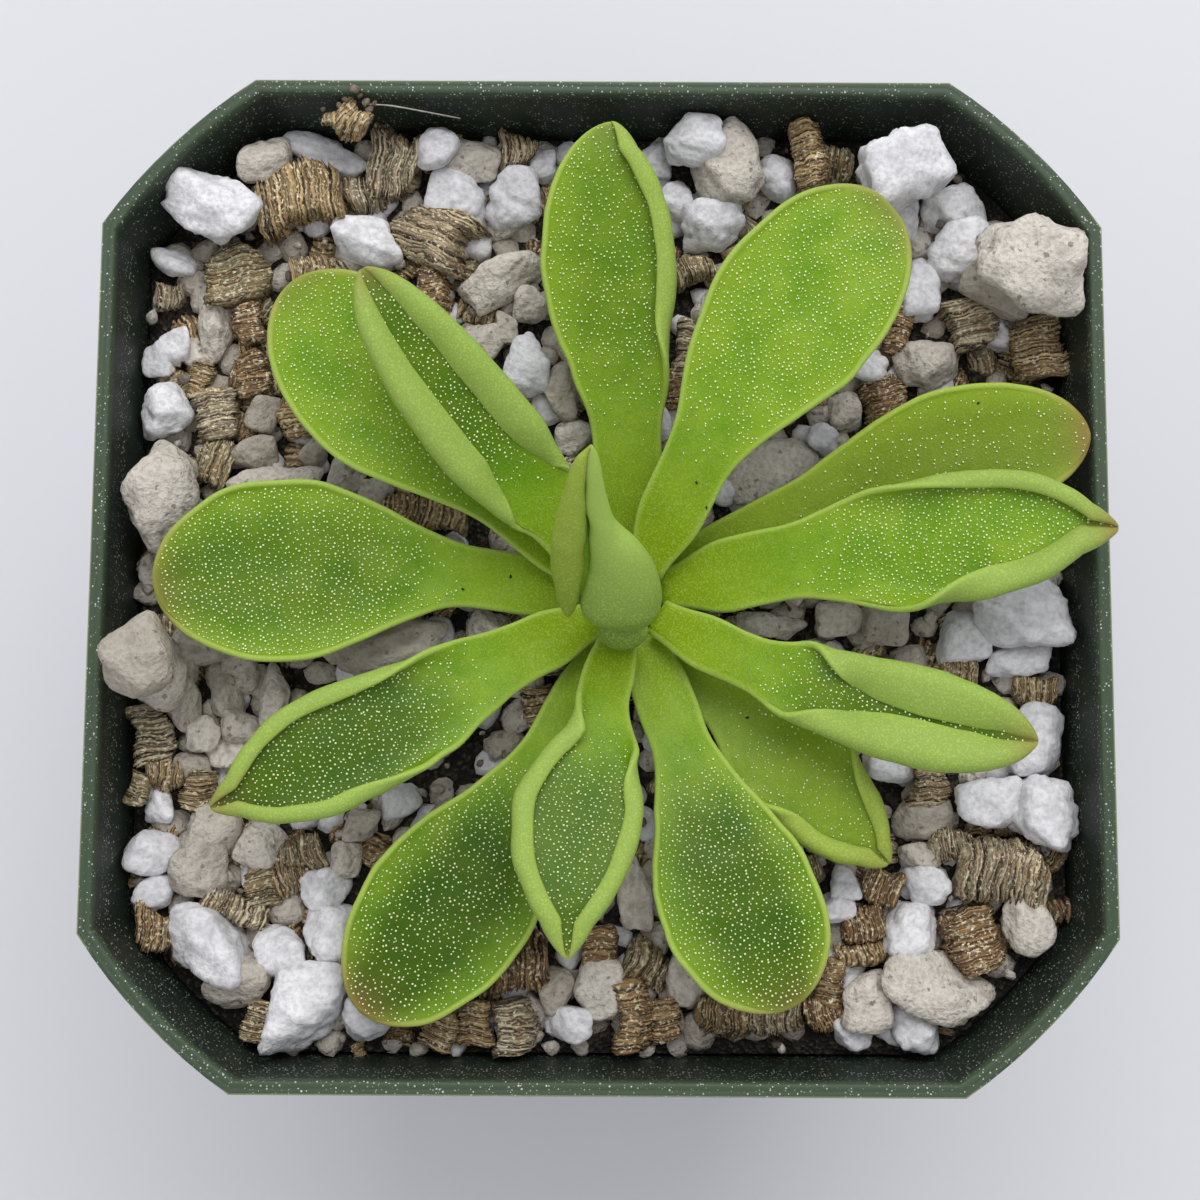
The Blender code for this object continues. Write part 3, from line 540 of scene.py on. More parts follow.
def gland_places(leaf, spacing, rng):
    """Shares along and across of a blade's glands: a jittered net of triangles, thinning to the neck."""
    length = midrib(leaf, np.array((0.0, 1.0)))[3]
    rows = np.arange(0.22 * length, 0.985 * length, spacing * NET_ROW)
    cols = np.arange(-WIDEST_HALF, WIDEST_HALF, spacing)
    v, u = np.meshgrid(rows, cols, indexing="ij")
    u = u + (np.arange(len(rows)) % 2)[:, None] * spacing / 2
    u = (u + rng.uniform(-0.3, 0.3, u.shape) * spacing).ravel()
    v = (v + rng.uniform(-0.3, 0.3, v.shape) * spacing).ravel()
    shares = v / length
    sides = leaf.left, leaf.right
    width = np.where(u >= 0, *(half_width(leaf, margin, shares) for margin in sides))
    across = u / np.maximum(width, 0.1)
    inside = np.abs(across) < np.where(u >= 0, *(open_share(leaf, margin, shares) for margin in sides))
    inside &= (1 - np.abs(across)) * width > 0.45
    kept = rng.uniform(size=shares.shape) < ease((shares - 0.26) / 0.26) * 0.95 * leaf.drops
    return shares[inside & kept], across[inside & kept]


def drop_shape():
    """A small drop: a ring of six points and two poles, the lower one sunk in the leaf."""
    around = np.arange(6) * math.pi / 3
    ring = np.stack((np.cos(around), np.sin(around), np.zeros(6)), 1)
    points = np.concatenate((ring, [[0, 0, -0.8], [0, 0, 0.9]]))
    start, after = np.arange(6), (np.arange(6) + 1) % 6
    foot, head = np.full(6, 6), np.full(6, 7)
    return points, [np.stack((start, after, head), 1), np.stack((after, start, foot), 1)]


def frames_on(normals, rng):
    """For each normal a 3 by 3 matrix whose rows are two random tangents and the normal."""
    spare = unit(np.cross(normals, rng.normal(size=normals.shape)))
    return np.stack((spare, np.cross(normals, spare), normals), 1)


def hair_shape():
    """A hair's shape across: a triangle at its foot, a smaller one at its middle and a point at its tip, with
    the faces of a three-sided cone.
    """
    around = np.arange(3) * 2 * math.pi / 3
    foot = np.stack((np.cos(around), np.sin(around), np.zeros(3)), 1)
    middle = foot * (0.7, 0.7, 1)
    points = np.concatenate((foot, middle, [[0, 0, 0]]))
    faces = np.array([(0, 1, 4), (0, 4, 3), (1, 2, 5), (1, 5, 4), (2, 0, 3), (2, 3, 5),
                      (3, 4, 6), (4, 5, 6), (5, 3, 6), (2, 1, 0)])
    return points, [faces]


def bent_hairs(places, ways, bends, lengths, thick):
    """Hairs as one mesh: foot, middle and tip of each lie on a curve from its way towards its bend."""
    template, faces = hair_shape()
    level = np.array((0, 0, 0, 0.5, 0.5, 0.5, 1.0))
    side = unit(np.cross(ways, bends))
    front = np.cross(side, ways)
    spread = template[None, :, 0, None] * side[:, None] + template[None, :, 1, None] * front[:, None]
    path = (level[None, :, None] * ways[:, None]
            + (level**2)[None, :, None] * 0.35 * bends[:, None]) * lengths[:, None, None]
    return repeated(places[:, None] + spread * thick[:, None, None] + path, faces)


# Young leaves

# Rows from foot to tip: x, y, z of the middle, half width and half depth, in mm
LEFT_LOBE = (
    (-2.3, -3.3, 2.0, 0.2, 0.2), (-2.3, -2.9, 2.6, 0.5, 0.4), (-2.3, -2.3, 3.2, 0.8, 0.6),
    (-2.3, -1.7, 4.0, 0.9, 0.8), (-2.3, -0.2, 5.8, 1.2, 1.0), (-2.3, 1.0, 7.5, 1.2, 1.0),
    (-2.1, 2.0, 8.8, 1.2, 1.0), (-1.9, 3.1, 10.3, 1.0, 0.9), (-1.7, 4.4, 12.1, 0.7, 0.7),
    (-1.4, 5.5, 13.5, 0.5, 0.5), (-1.1, 6.1, 14.3, 0.3, 0.3), (-0.6, 6.7, 15.0, 0.1, 0.1),
)
RIGHT_LOBE = (
    (1.4, -4.1, 1.1, 0.6, 0.4), (1.4, -3.9, 1.3, 1.6, 0.9), (1.5, -3.4, 1.8, 2.5, 1.4),
    (1.5, -2.8, 2.5, 2.9, 1.8), (1.6, -2.0, 3.4, 2.9, 1.9), (1.6, -1.2, 4.5, 2.7, 1.8),
    (1.5, -0.2, 5.8, 2.3, 1.6), (1.1, 0.7, 7.0, 1.9, 1.4), (0.5, 1.7, 8.3, 1.3, 1.1),
    (0.1, 2.5, 9.5, 0.9, 0.9), (-0.2, 3.4, 10.7, 0.8, 0.7), (-0.4, 4.8, 12.5, 0.6, 0.6),
    (-0.5, 6.1, 14.2, 0.4, 0.4), (-0.6, 6.7, 15.0, 0.1, 0.1),
)
INNER_BLADE = (
    (1.10, -1.60, -3.80, 1.00, 0.80), (0.30, -2.10, -0.50, 1.15, 0.75), (-0.70, -1.90, 2.50, 1.25, 0.70),
    (-1.30, -0.40, 5.00, 1.05, 0.50), (-1.30, 1.40, 7.60, 0.70, 0.35), (-1.10, 3.10, 9.80, 0.30, 0.20),
)
BUD = (
    (2.20, -3.80, -2.90, 1.00, 0.75), (1.95, -4.10, -2.40, 1.60, 1.20), (1.75, -4.20, -1.60, 1.95, 1.45),
    (1.70, -4.05, -0.80, 1.80, 1.30), (1.80, -3.80, -0.20, 1.25, 0.95), (1.90, -3.70, 0.15, 0.40, 0.30),
)


def smooth_rows(table, count):
    """A table's rows drawn out to `count` rows by cubic pieces whose slopes are the table's own."""
    known = np.array(table)
    slope = np.gradient(known, axis=0)
    at = np.linspace(0, len(known) - 1, count)
    k = np.minimum(at.astype(int), len(known) - 2)
    t = (at - k)[:, None]
    return ((2 * t**3 - 3 * t**2 + 1) * known[k] + (t**3 - 2 * t**2 + t) * slope[k]
            + (3 * t**2 - 2 * t**3) * known[k + 1] + (t**3 - t**2) * slope[k + 1])


def lobe_skin(table, rows, around, upper, seed, warm, shade, fades=0.9):
    """Closed skin of ellipses square to a smooth spine, with shallow ripples, and its material's values.

    upper is 1 for a face that lies open and 0 for an underside. warm tints the whole lobe, and shade is
    painted shade that darkens it towards its foot, less and less up to the share `fades` of its length.
    """
    drawn = smooth_rows(table, rows)
    spine = drawn[:, :3]
    half = np.maximum(drawn[:, 3:], 0.03)
    heading = unit(np.gradient(spine, axis=0))
    side = np.array((-1.0, 0.0, 0.0))
    side = unit(side - (heading @ side)[:, None] * heading)
    front = np.cross(heading, side)
    turn = np.linspace(0, 2 * math.pi, around, endpoint=False)[None, :, None]
    rings = (spine[:, None] + side[:, None] * half[:, None, :1] * np.cos(turn)
             + front[:, None] * half[:, None, 1:] * np.sin(turn))
    outward = unit(rings - spine[:, None])
    rings = rings + outward * (0.03 * ripple(rings, 2.5, seed))[..., None]
    along = np.linspace(0, 1, rows)[:, None] + 0 * turn[..., 0]
    above = np.full((*along.shape, 3), upper)
    zone = np.stack((0.3 * (1 - along), 0.25 * ease((along - 0.9) * 10), 0 * along), -1)
    mood = np.stack((shade * (1 - ease(along / fades)), warm + 0 * along, 0 * along), -1)
    return closed_loft(rings, {"above": above, "zone": zone, "mood": mood})


def young_skin():
    """The rolled young leaf: its two lobes and the blade that shows between them."""
    # The last two numbers of each lobe are its olive tint and its painted shade.
    return joined((lobe_skin(LEFT_LOBE, 60, 40, 0.0, 3, 0.7, 0.5),
                   lobe_skin(RIGHT_LOBE, 70, 48, 0.0, 4, 0.1, 0.9),
                   lobe_skin(INNER_BLADE, 30, 24, 1.0, 5, 0.0, 0.3)))


def bud_skin():
    """The youngest leaf, a closed bud, darkened by painted shade, a little less towards its top."""
    return lobe_skin(BUD, 24, 40, 0.0, 6, 0.1, 1.0, 4.0)


# Pot

def square_outline(half, cut, bow):
    """Points round a square with cut, slightly bowed corners, counter-clockwise, as (n, 2).

    Each quarter is a corner arc, a straight line with a parabola's bow across it, and then a side.
    """
    share = np.linspace(0, 1, 9)[:, None]
    start, end = np.array((half, half - cut)), np.array((half - cut, half))
    corner = start + (end - start) * share + bow * 4 * share * (1 - share) / math.sqrt(2)
    side = np.linspace(0, 1, 13)[1:-1, None] * np.array((-2 * (half - cut), 0.0)) + end
    quarter = np.concatenate((corner, side))
    turned = [quarter @ np.array(((c, s), (-s, c))) for c, s in ((1, 0), (0, 1), (-1, 0), (0, -1))]
    return np.concatenate(turned)


def level(half_outer, inset, height):
    """One ring of the pot: the outline `inset` inside the outer one of that half width, at a height."""
    cut = CORNER_CUT * half_outer - inset * (2 - math.sqrt(2))
    flat = square_outline(half_outer - inset, cut, CORNER_BOW * half_outer)
    return np.concatenate((flat, np.full((len(flat), 1), height)), 1)


def wall_half(height):
    """Outer half width of the tapered wall below the rim band."""
    top = RIM_HALF_WIDTH - BAND_STEP
    return BASE_HALF_WIDTH + (top - BASE_HALF_WIDTH) * (height + RIM_HEIGHT) / RIM_HEIGHT


def band_half(height):
    """Outer half width of the rim band, which widens slightly upwards."""
    return RIM_HALF_WIDTH + (RIM_HALF_WIDTH - BAND_FOOT) * height / BAND_HEIGHT


def pot_rings():
    """Rings of the pot from its base up the outside, over the rounded rim, and down to its floor."""
    band, floor = -BAND_HEIGHT, FLOOR - RIM_HEIGHT
    rows = [(BASE_HALF_WIDTH, 0.8, -RIM_HEIGHT), (BASE_HALF_WIDTH, 0.3, -RIM_HEIGHT + 0.15),
            (BASE_HALF_WIDTH, 0.05, -RIM_HEIGHT + 0.5)]
    rows += [(wall_half(z), 0.0, z) for z in np.linspace(-RIM_HEIGHT + 1.2, band - 1.0, 14)]
    rows += [(wall_half(band) + 0.1, 0.0, band - 0.5), (BAND_FOOT, 0.12, band - 0.12),
             (BAND_FOOT, 0.0, band + 0.15)]
    rows += [(band_half(z), 0.0, z) for z in np.linspace(band + 0.6, -0.6, 8)]
    rows += [(RIM_HALF_WIDTH, inset, z) for inset, z in RIM_PROFILE]
    rows += [(band_half(z), WALL, z) for z in np.linspace(-1.0, LEDGE, 12)]
    rows += [(wall_half(LEDGE - LEDGE_HEIGHT), WALL, LEDGE - LEDGE_HEIGHT)]
    rows += [(wall_half(z), WALL, z) for z in np.linspace(band - 4, floor, 10)]
    return np.array([level(*row) for row in rows])


def pot_trim(points):
    """Values of the pot's points: 1 on the rim's thin outer edge, where a highlight is painted, 1 on the
    rim's top, where light is painted, and 1 where dust lies.

    They follow from how far a point lies inside the outline at its height, straight or across a corner.
    """
    x, y, z = points.T
    half = np.where(z > -BAND_HEIGHT, band_half(z), wall_half(z))
    across = (2 - CORNER_CUT + CORNER_BOW * math.sqrt(2)) * half / math.sqrt(2)
    inset = np.minimum(half - np.maximum(abs(x), abs(y)), across - (abs(x) + abs(y)) / math.sqrt(2))
    edge = np.where(z > -0.32, 1 - ease(inset / 0.22), 0)
    top = z > -0.5
    return np.stack((edge, top, top | (inset > WALL / 2)), 1)


def cut_drains(pot):
    """Four round holes through the pot's floor, cut with one cylinder each."""
    for x_side in (-1, 1):
        for y_side in (-1, 1):
            place = np.array((x_side * DRAIN_OFFSET, y_side * DRAIN_OFFSET, FLOOR / 2)) * MM
            bpy.ops.mesh.primitive_cylinder_add(vertices=DRAIN_SIDES, radius=DRAIN_RADIUS * MM,
                                                depth=3 * FLOOR * MM, location=place)
            cutter = bpy.context.object
            hole = pot.modifiers.new("drain", "BOOLEAN")
            hole.operation, hole.solver, hole.object = "DIFFERENCE", "EXACT", cutter
            with bpy.context.temp_override(object=pot, active_object=pot):
                bpy.ops.object.modifier_apply(modifier=hole.name)
            bpy.data.objects.remove(cutter, do_unlink=True)


# Mix

def mix_height(x, y):
    """Height of the bed under the stones: nearly level, a little lower round the crown."""
    away = np.hypot(x - CROWN_X, y - CROWN_Y) / RIM_HALF_WIDTH
    return MIX_EDGE - MIX_DIP * np.exp(-3 * away**2)


def bed_skin():
    """The bed's closed skin: it follows the pot's inside, and its top is crumbly, by ripples of 1 to 4 mm."""
    inset, floor = WALL + GAP, FLOOR + GAP - RIM_HEIGHT
    ledge = LEDGE + GAP
    rings = [level(wall_half(floor), inset, floor),
             level(wall_half(ledge - LEDGE_HEIGHT), inset, ledge - LEDGE_HEIGHT),
             level(band_half(ledge), inset, ledge), level(band_half(MIX_EDGE), inset, MIX_EDGE - 0.5)]
    edge = rings[-1]
    for share in np.linspace(1, 0, 26)[1:-1]:
        ring = edge * (share, share, 1)
        crumbs = 0.25 * ripple(ring * (1, 1, 0), 3.0, 41) + 0.16 * ripple(ring * (1, 1, 0), 1.2, 42)
        ring[:, 2] = mix_height(ring[:, 0], ring[:, 1]) - 0.5 + crumbs
        rings.append(ring)
    return closed_loft(np.array(rings))


# Grains seen from above, as x, y, length and width in mm, and where it isn't 0 the turn in degrees
PLACES = {
    "perlite": (
        (-34.7, 26, 3.6, 2.5), (-22.6, 35.3, 7.2, 3.1, -30), (-13.3, 36.5, 3.6, 3.9), (-12, 31.4, 5, 5.6),
        (-7, 31.3, 4.6, 4.9), (-4.7, 34.3, 2.3, 3.1), (-18.9, 27.7, 5.6, 4.6), (-34.2, 19.3, 2.8, 3.1),
        (-35.7, 18.1, 2.5, 3.1), (-35, 14, 4.2, 5), (-5.9, 17.9, 3.6, 5.3), (6.9, 37.7, 5.3, 3.6),
        (4.3, 34.8, 3.1, 3.1), (6.1, 31.4, 3.1, 4.3), (8.7, 29.2, 5.6, 4.2), (14.2, 33.4, 3.4, 3.6),
        (24.1, 31, 3.6, 5), (28.8, 31.2, 5.3, 4.2), (28.7, 26.9, 5.3, 5.3), (25.8, 24.6, 3.1, 5.6),
        (32, 20.5, 3.1, 3.1), (21.7, 17.7, 3.4, 3.1), (17.9, 12, 2.7, 2.7), (-34.5, -17.7, 2.5, 3.1),
        (-35.3, -21, 3.9, 3.9), (-34.8, -24.5, 3.1, 3.1), (-21.5, -23.8, 4.2, 3.4),
        (-30.3, -28.5, 6.2, 6.2), (-24.8, -28.6, 4.2, 4.2), (-22.7, -33.1, 6.2, 7),
        (-20.8, -28.1, 3.9, 5.3), (-18, -34.1, 4.5, 3.6), (-15.2, -17.1, 3.4, 3.1),
        (-2.1, -34.5, 3.4, 3.1), (19.7, -34.5, 3.1, 3.1), (24.7, -34.4, 4.2, 3.9), (24.5, -27.1, 4.5, 4.5),
        (35.6, -18.1, 5, 6.2), (30.5, -17.3, 5, 4.5), (25.8, -23.8, 3.6, 3.6), (18.8, -25.3, 2.5, 2.5),
        (19.2, -23.2, 2.7, 2.7), (34.5, -11.9, 4.5, 5.9), (33.1, -5.9, 5.6, 3.2), (34.4, -2.2, 7.8, 5.8),
        (28.8, -3.9, 4.2, 4.5), (23.1, -14.3, 3.9, 2.5),
    ),
    "pumice": (
        (-28.6, 35.2, 4.1, 4.2), (-11, 34.7, 5.6, 3.6), (-8.2, 24.7, 7.2, 3.6, 40), (-5.7, 22.6, 3.1, 3.1),
        (-31.4, 20.7, 3.4, 6.7), (-27.2, 13.4, 3.1, 3.1), (-27.8, 10.4, 3.9, 2.8), (-25.7, 8.1, 8.1, 2.8),
        (-23.1, 10.3, 2.4, 2.4), (-20.4, 9, 3.6, 3.4), (-18.2, 7.4, 3.1, 2.8), (-9.7, 19.4, 4.2, 3.6),
        (-7.7, 20.9, 2, 2.8), (-3.4, 15.6, 3.1, 5), (-2.1, 11.9, 3.1, 3.1), (-35.8, 0.8, 1.7, 3.6),
        (10.3, 34.9, 6, 6.7), (26.3, 18.1, 5.6, 4.5), (19.7, 14.4, 2.8, 3.6), (14.1, 9.4, 7.2, 6.1),
        (-34.0, -6.7, 5.0, 5.0), (-32.8, -9.6, 3.1, 5.3), (-29.6, -8.9, 2.8, 3.6), (-28.3, -7.2, 3.1, 4.2),
        (-25.7, -9.3, 2.7, 5.9), (-17, -5.3, 10.6, 4.2, 15), (-9, -3.7, 3.9, 3.9), (-32, -5, 5, 3.6),
        (-31.3, -12, 3.1, 3.1), (-28.5, -11.4, 3.1, 3.1), (-29, -13.3, 4.2, 2.5), (-31.8, -14.5, 3.1, 2.8),
        (-30.2, -19.4, 4.2, 5.3), (-26.8, -20.8, 4.6, 3.9, 40), (-31.5, -22.7, 5, 5),
        (-27.6, -31.2, 5.6, 4.2), (-18.6, -19.1, 3.1, 2.5), (-19.6, -21.6, 2.5, 3.1),
        (-3.3, -31.6, 3.1, 3.9), (-0.1, -32.1, 3.9, 5.6), (2.7, -23.9, 3.1, 6.4), (6.9, -30.4, 4.2, 5.6),
        (20.8, -32.3, 4.2, 4.5), (25.9, -31.3, 9.4, 5, -25), (33.3, -26.2, 4.2, 5),
        (25.2, -18.1, 5.2, 3.6), (25.2, -21.2, 3.4, 2.3), (22.3, -3.4, 3.9, 3.9), (19.2, -2.6, 3.9, 3.1),
        (13.6, -3.1, 5.6, 2.3),
    ),
    "vermiculite": (
        (-24.5, 31.1, 6.7, 7), (-19.3, 32, 3.6, 3.4), (-16.9, 34.6, 3.9, 6.7), (-6.9, 35.6, 2.8, 3.9),
        (-13.2, 28.2, 7, 4.8, -25), (-29.6, 25.1, 5.9, 4.3), (-13.4, 23.7, 3.6, 3.9),
        (-34.9, 23.5, 2.3, 2.5), (-28.5, 20.9, 3.4, 3.2), (-32.4, 16.3, 2.8, 2.8), (-28.1, 16.9, 3.4, 3.6),
        (-30.6, 13.6, 3.9, 3.9), (-31, 9.4, 2.8, 3.9), (-24.6, 13, 3.4, 2.8), (-14, 5.6, 6.7, 3.1),
        (16.7, 36.2, 3.1, 5.3), (18.8, 34.7, 3.1, 3.1), (24, 21, 2.3, 4.2), (29.5, 21.3, 5, 4.2),
        (35.2, 19.3, 4.5, 4.8), (22.8, 15.1, 4.5, 3.6), (7.4, 25.6, 3.1, 3.9), (6.9, 19.1, 3.1, 4.7),
        (6.1, 16, 2.7, 3.1), (-35, -3.7, 2.4, 2.4), (-35.2, -12, 3.6, 4.8), (-34.1, -15.1, 3.1, 3.1),
        (-36.7, -16.3, 2.1, 2.5), (-31.1, -16.4, 3.1, 3.1), (-28.4, -25.6, 5.2, 3.1, -35),
        (-26.2, -23.8, 3.1, 3.1), (-23.2, -21.6, 3.6, 3.1), (-23.7, -23.5, 3.1, 3.1),
        (-34.2, -27, 3.6, 3.6), (-26.2, -34.1, 3.1, 3.1), (-5.9, -29.5, 3.9, 5.3), (-6.6, -34.5, 3.9, 3.9),
        (0.1, -28.3, 3.1, 3.1), (-12.2, -34.6, 3.1, 3.1), (-9.5, -34.2, 3.1, 3.1), (2.8, -33.6, 3.4, 5.3),
        (3.7, -29.9, 3.6, 4.2), (4.9, -33.9, 3.1, 3.1), (9.8, -33.6, 4.2, 3.6), (13.7, -33.6, 4.2, 3.1),
        (17.5, -33.3, 3.1, 3.1), (17.9, -30.9, 3.1, 3.4), (20.5, -28.7, 4.1, 2, 15),
        (20.7, -26.5, 3.1, 2.8), (29.1, -27.6, 5.3, 5), (31.6, -22.4, 6.7, 6.2), (27.5, -20.4, 3.1, 3.4),
        (22.1, -23.5, 3.1, 3.1), (28.2, -6.9, 3.1, 3.1), (34.4, -8, 3.1, 3.1), (25.8, -15.7, 3.9, 3.1),
    ),
}

# Grains that lie high, against the wall: x, y, z of the middle, half sizes in mm and turn in radians
HIGH_GRAINS = {
    "perlite": ((23.4, 32.6, -1.8, 4.0, 3.1, 2.7, 0.5), (-30.2, 29.0, -3.4, 3.7, 3.2, 2.7, 0.1)),
    "pumice": ((32.6, 23.4, 1.2, 4.6, 3.9, 3.2, 0.0), (31.8, 23.6, -4.2, 3.4, 3.2, 2.6, 1.0),
               (-34.2, -6.9, 1.6, 2.9, 3.0, 2.4, 0.4), (-33.6, -7.2, -3.0, 2.8, 2.8, 2.4, 1.2),
               (-33.8, 6.3, -2.6, 2.9, 4.5, 2.6, 0.0)),
    "vermiculite": ((-19.4, 35.3, -1.2, 1.5, 1.3, 1.1, 1.2), (-20.9, 35.6, -1.6, 0.9, 0.7, 0.6, 0.3)),
}

# Crumbs caught at the rim, as x, y, z and size in mm, the thread that hangs there, and specks of soil on
# leaves, as shares along and across
RIM_CRUMBS = (
    (-19.0, 37.2, 0.35, 0.9), (-18.2, 36.5, -0.5, 0.7), (-18.6, 36.8, -0.1, 0.5), (-17.6, 36.4, -0.6, 0.5),
    (-20.3, 36.3, -0.7, 0.6), (-19.7, 36.4, 0.1, 0.6), (-21.6, 36.1, -1.0, 0.5), (-18.0, 36.1, -0.9, 0.8),
)
THREAD = ((-18.2, 36.4, -0.7), (-16.3, 36.2, -0.5), (-13.9, 35.9, -0.8), (-11.1, 36.0, -2.4))
THREAD_RADIUS = 0.06
THREAD_TONE = 0.7
SOIL_SPECKS = (("leaf_11", 0.20, -0.20), ("leaf_11", 0.31, 0.45), ("leaf_03", 0.78, 0.70),
               ("leaf_02", 0.20, -0.90), ("leaf_02", 0.24, -0.30), ("leaf_06", 0.40, 0.10))

# Seeded grains where leaves hide the mix, with their width and height as shares of their length
HIDDEN_GRAINS = 46
HIDDEN_TRIES = 4000
LOWER_SPACING = 2.5
SLIM = 0.42
FLAT = 0.4
STONE_CLEARANCE = 0.35
MIX_SEED = 23
TOP_SEED = 300
LOWER_SEED = 400
CRUMB_SEED = 51
PITS = 16

# Detail of the grains on top and in the layer below: squares along a side of a stone's face, plates
# of a vermiculite grain and points round each plate
STONE_GRID = (12, 3)
PLATES = (19, 7)
PLATE_POINTS = (25, 10)

STONE_HALF_ROOM = RIM_HALF_WIDTH - WALL - 0.35
CORNER_ROOM = 2 * STONE_HALF_ROOM - CORNER_CUT * RIM_HALF_WIDTH + 1.0

# Half width in mm of the grid of leaf heights, and its value where no leaf is
GRID_HALF = 42
OPEN_AIR = 30.0

# The camera's place in mm from the rim's middle, the height that PLACES are read at, and how far a
# stone climbs the wall for each mm that it would reach into it
SIGHT_X = 0.16
SIGHT_Y = -13.6
SIGHT_HEIGHT = 118.4
PLACES_HEIGHT = -8.2
LEANING = 1.2


def room_to_wall(x, y):
    """Distance from a point to the nearest inner wall at the height of the stones."""
    half = STONE_HALF_ROOM
    return min(half - abs(x), half - abs(y), (CORNER_ROOM - abs(x) - abs(y)) / math.sqrt(2))


@lru_cache(maxsize=None)
def leaf_ceiling():
    """Lowest leaf point over each square millimetre, as a grid round the pot's middle."""
    skins = [blade_skin(leaf)[0] for leaf in LEAVES] + [young_skin()[0], bud_skin()[0]]
    points = np.concatenate(skins)
    grid = np.full((2 * GRID_HALF, 2 * GRID_HALF), OPEN_AIR)
    cell = np.clip((points[:, :2] + GRID_HALF).astype(int), 0, 2 * GRID_HALF - 1)
    np.minimum.at(grid, (cell[:, 0], cell[:, 1]), points[:, 2])
    return grid


def settle(x, y, reach, rise, show):
    """Height of a stone's middle: `show` over the bed, or less, so that its top clears the leaves.

    None where no part of it would show over the bed.
    """
    low = np.maximum(np.array((x, y)) + GRID_HALF - reach - 1, 0).astype(int)
    high = np.minimum(np.array((x, y)) + GRID_HALF + reach + 2, 2 * GRID_HALF).astype(int)
    top = leaf_ceiling()[low[0]:high[0], low[1]:high[1]].min() - STONE_CLEARANCE
    height = min(mix_height(x, y) + show, top - rise)
    return height if height + rise > mix_height(x, y) + 0.1 else None


def inside_wall(x, y, reach_x, reach_y):
    """The place, moved in as far as it takes to keep a stone of that reach off the pot's inner wall."""
    half = STONE_HALF_ROOM
    x = float(np.clip(x, reach_x - half, half - reach_x))
    y = float(np.clip(y, reach_y - half, half - reach_y))
    over = abs(x) + abs(y) + 0.7 * (reach_x + reach_y) - CORNER_ROOM
    if over > 0:
        x, y = x - math.copysign(over / 2, x), y - math.copysign(over / 2, y)
    return x, y


def on_sight(x, y, z):
    """The place at height z that the camera sees where the tables' height shows x, y."""
    nearer = (SIGHT_HEIGHT - z) / (SIGHT_HEIGHT - PLACES_HEIGHT)
    return SIGHT_X + (x - SIGHT_X) * nearer, SIGHT_Y + (y - SIGHT_Y) * nearer


def placed_rows(places, rng):
    """Rows (x, y, z, half length, half width, half height, turn) of the stones seen from above."""
    rows = []
    for x, y, length, width, *turned in places:
        small, turn = min(length, width), math.radians(sum(turned))
        reach_x = math.hypot(length * math.cos(turn), width * math.sin(turn)) / 2
        reach_y = math.hypot(length * math.sin(turn), width * math.cos(turn)) / 2
        rise = small * rng.uniform(0.38, 0.46)
        show = 0.22 * small + rng.uniform(-0.3, 0.5)
        seen = on_sight(x, y, mix_height(x, y) + show)
        x, y = inside_wall(*seen, reach_x, reach_y)
        show += LEANING * math.hypot(x - seen[0], y - seen[1])
        z = settle(x, y, max(length, width) * 0.45, rise, show)
        if z is not None:
            rows.append((x, y, z, length / 2, width / 2, rise, turn))
    return rows


def restacked(rows, rng):
    """The same rows with the stack of plates running across the piece in half of them, a little turned."""
    rows = rows.copy()
    across = rng.uniform(size=len(rows)) < 0.5
    rows[across, 3:5] = rows[across, 4:2:-1]
    rows[across, 6] += math.pi / 2
    rows[:, 6] += rng.uniform(-0.35, 0.35, len(rows))
    return rows


def strewn(rng, least, most):
    """Length in mm, kind and turn of a strewn grain; every second one is pumice."""
    kinds = ("perlite", "pumice", "pumice", "vermiculite")
    return rng.uniform(least, most), kinds[rng.integers(4)], rng.uniform(0, math.pi)


def grain_rows():
    """Rows of every grain: for each kind those of the top layer, then those of the layer below it."""
    rng = np.random.default_rng(MIX_SEED)
    top = {kind: placed_rows(places, rng) for kind, places in PLACES.items()}
    taken = [(x, y, (length + width) / 4) for places in PLACES.values() for x, y, length, width, *_ in places]
    for kind, rows in HIGH_GRAINS.items():
        top[kind] += rows
        taken += [(row[0], row[1], (row[3] + row[4]) / 2) for row in rows]
    found = 0
    for _ in range(HIDDEN_TRIES):
        x, y = rng.uniform(-35, 35, 2)
        size, kind, turn = strewn(rng, 2.6, 4.6)
        clear = all(math.hypot(x - u, y - v) > 0.85 * (size / 2 + r) for u, v, r in taken)
        crowded = room_to_wall(x, y) < size / 2 or math.hypot(x - CROWN_X, y - CROWN_Y) < CROWN_ROOM
        if found >= HIDDEN_GRAINS or not clear or crowded:
            continue
        z = settle(x, y, size / 2, SLIM * size, 0.2 * size)
        taken.append((x, y, size / 2))
        if z is not None:
            found += 1
            top[kind].append((x, y, z, size / 2, size * SLIM, size * FLAT, turn))
    lower = {kind: [] for kind in PLACES}
    for i, v in enumerate(np.arange(-36, 36, LOWER_SPACING * NET_ROW)):
        for u in np.arange(-36, 36, LOWER_SPACING) + (i % 2) * LOWER_SPACING / 2:
            x, y = np.array((u, v)) + rng.uniform(-0.6, 0.6, 2)
            size, kind, turn = strewn(rng, 2.2, 3.6)
            size = min(size, 2 * room_to_wall(x, y) + 0.3)
            if size < 1 or math.hypot(x - CROWN_X, y - CROWN_Y) < CROWN_ROOM:
                continue
            z = settle(x, y, size / 2, SLIM * size, rng.uniform(-1.1, -0.3))
            if z is not None:
                lower[kind].append((x, y, z, size / 2, size * SLIM, size * FLAT, turn))
    return {kind: (np.array(top[kind]), np.array(lower[kind])) for kind in PLACES}


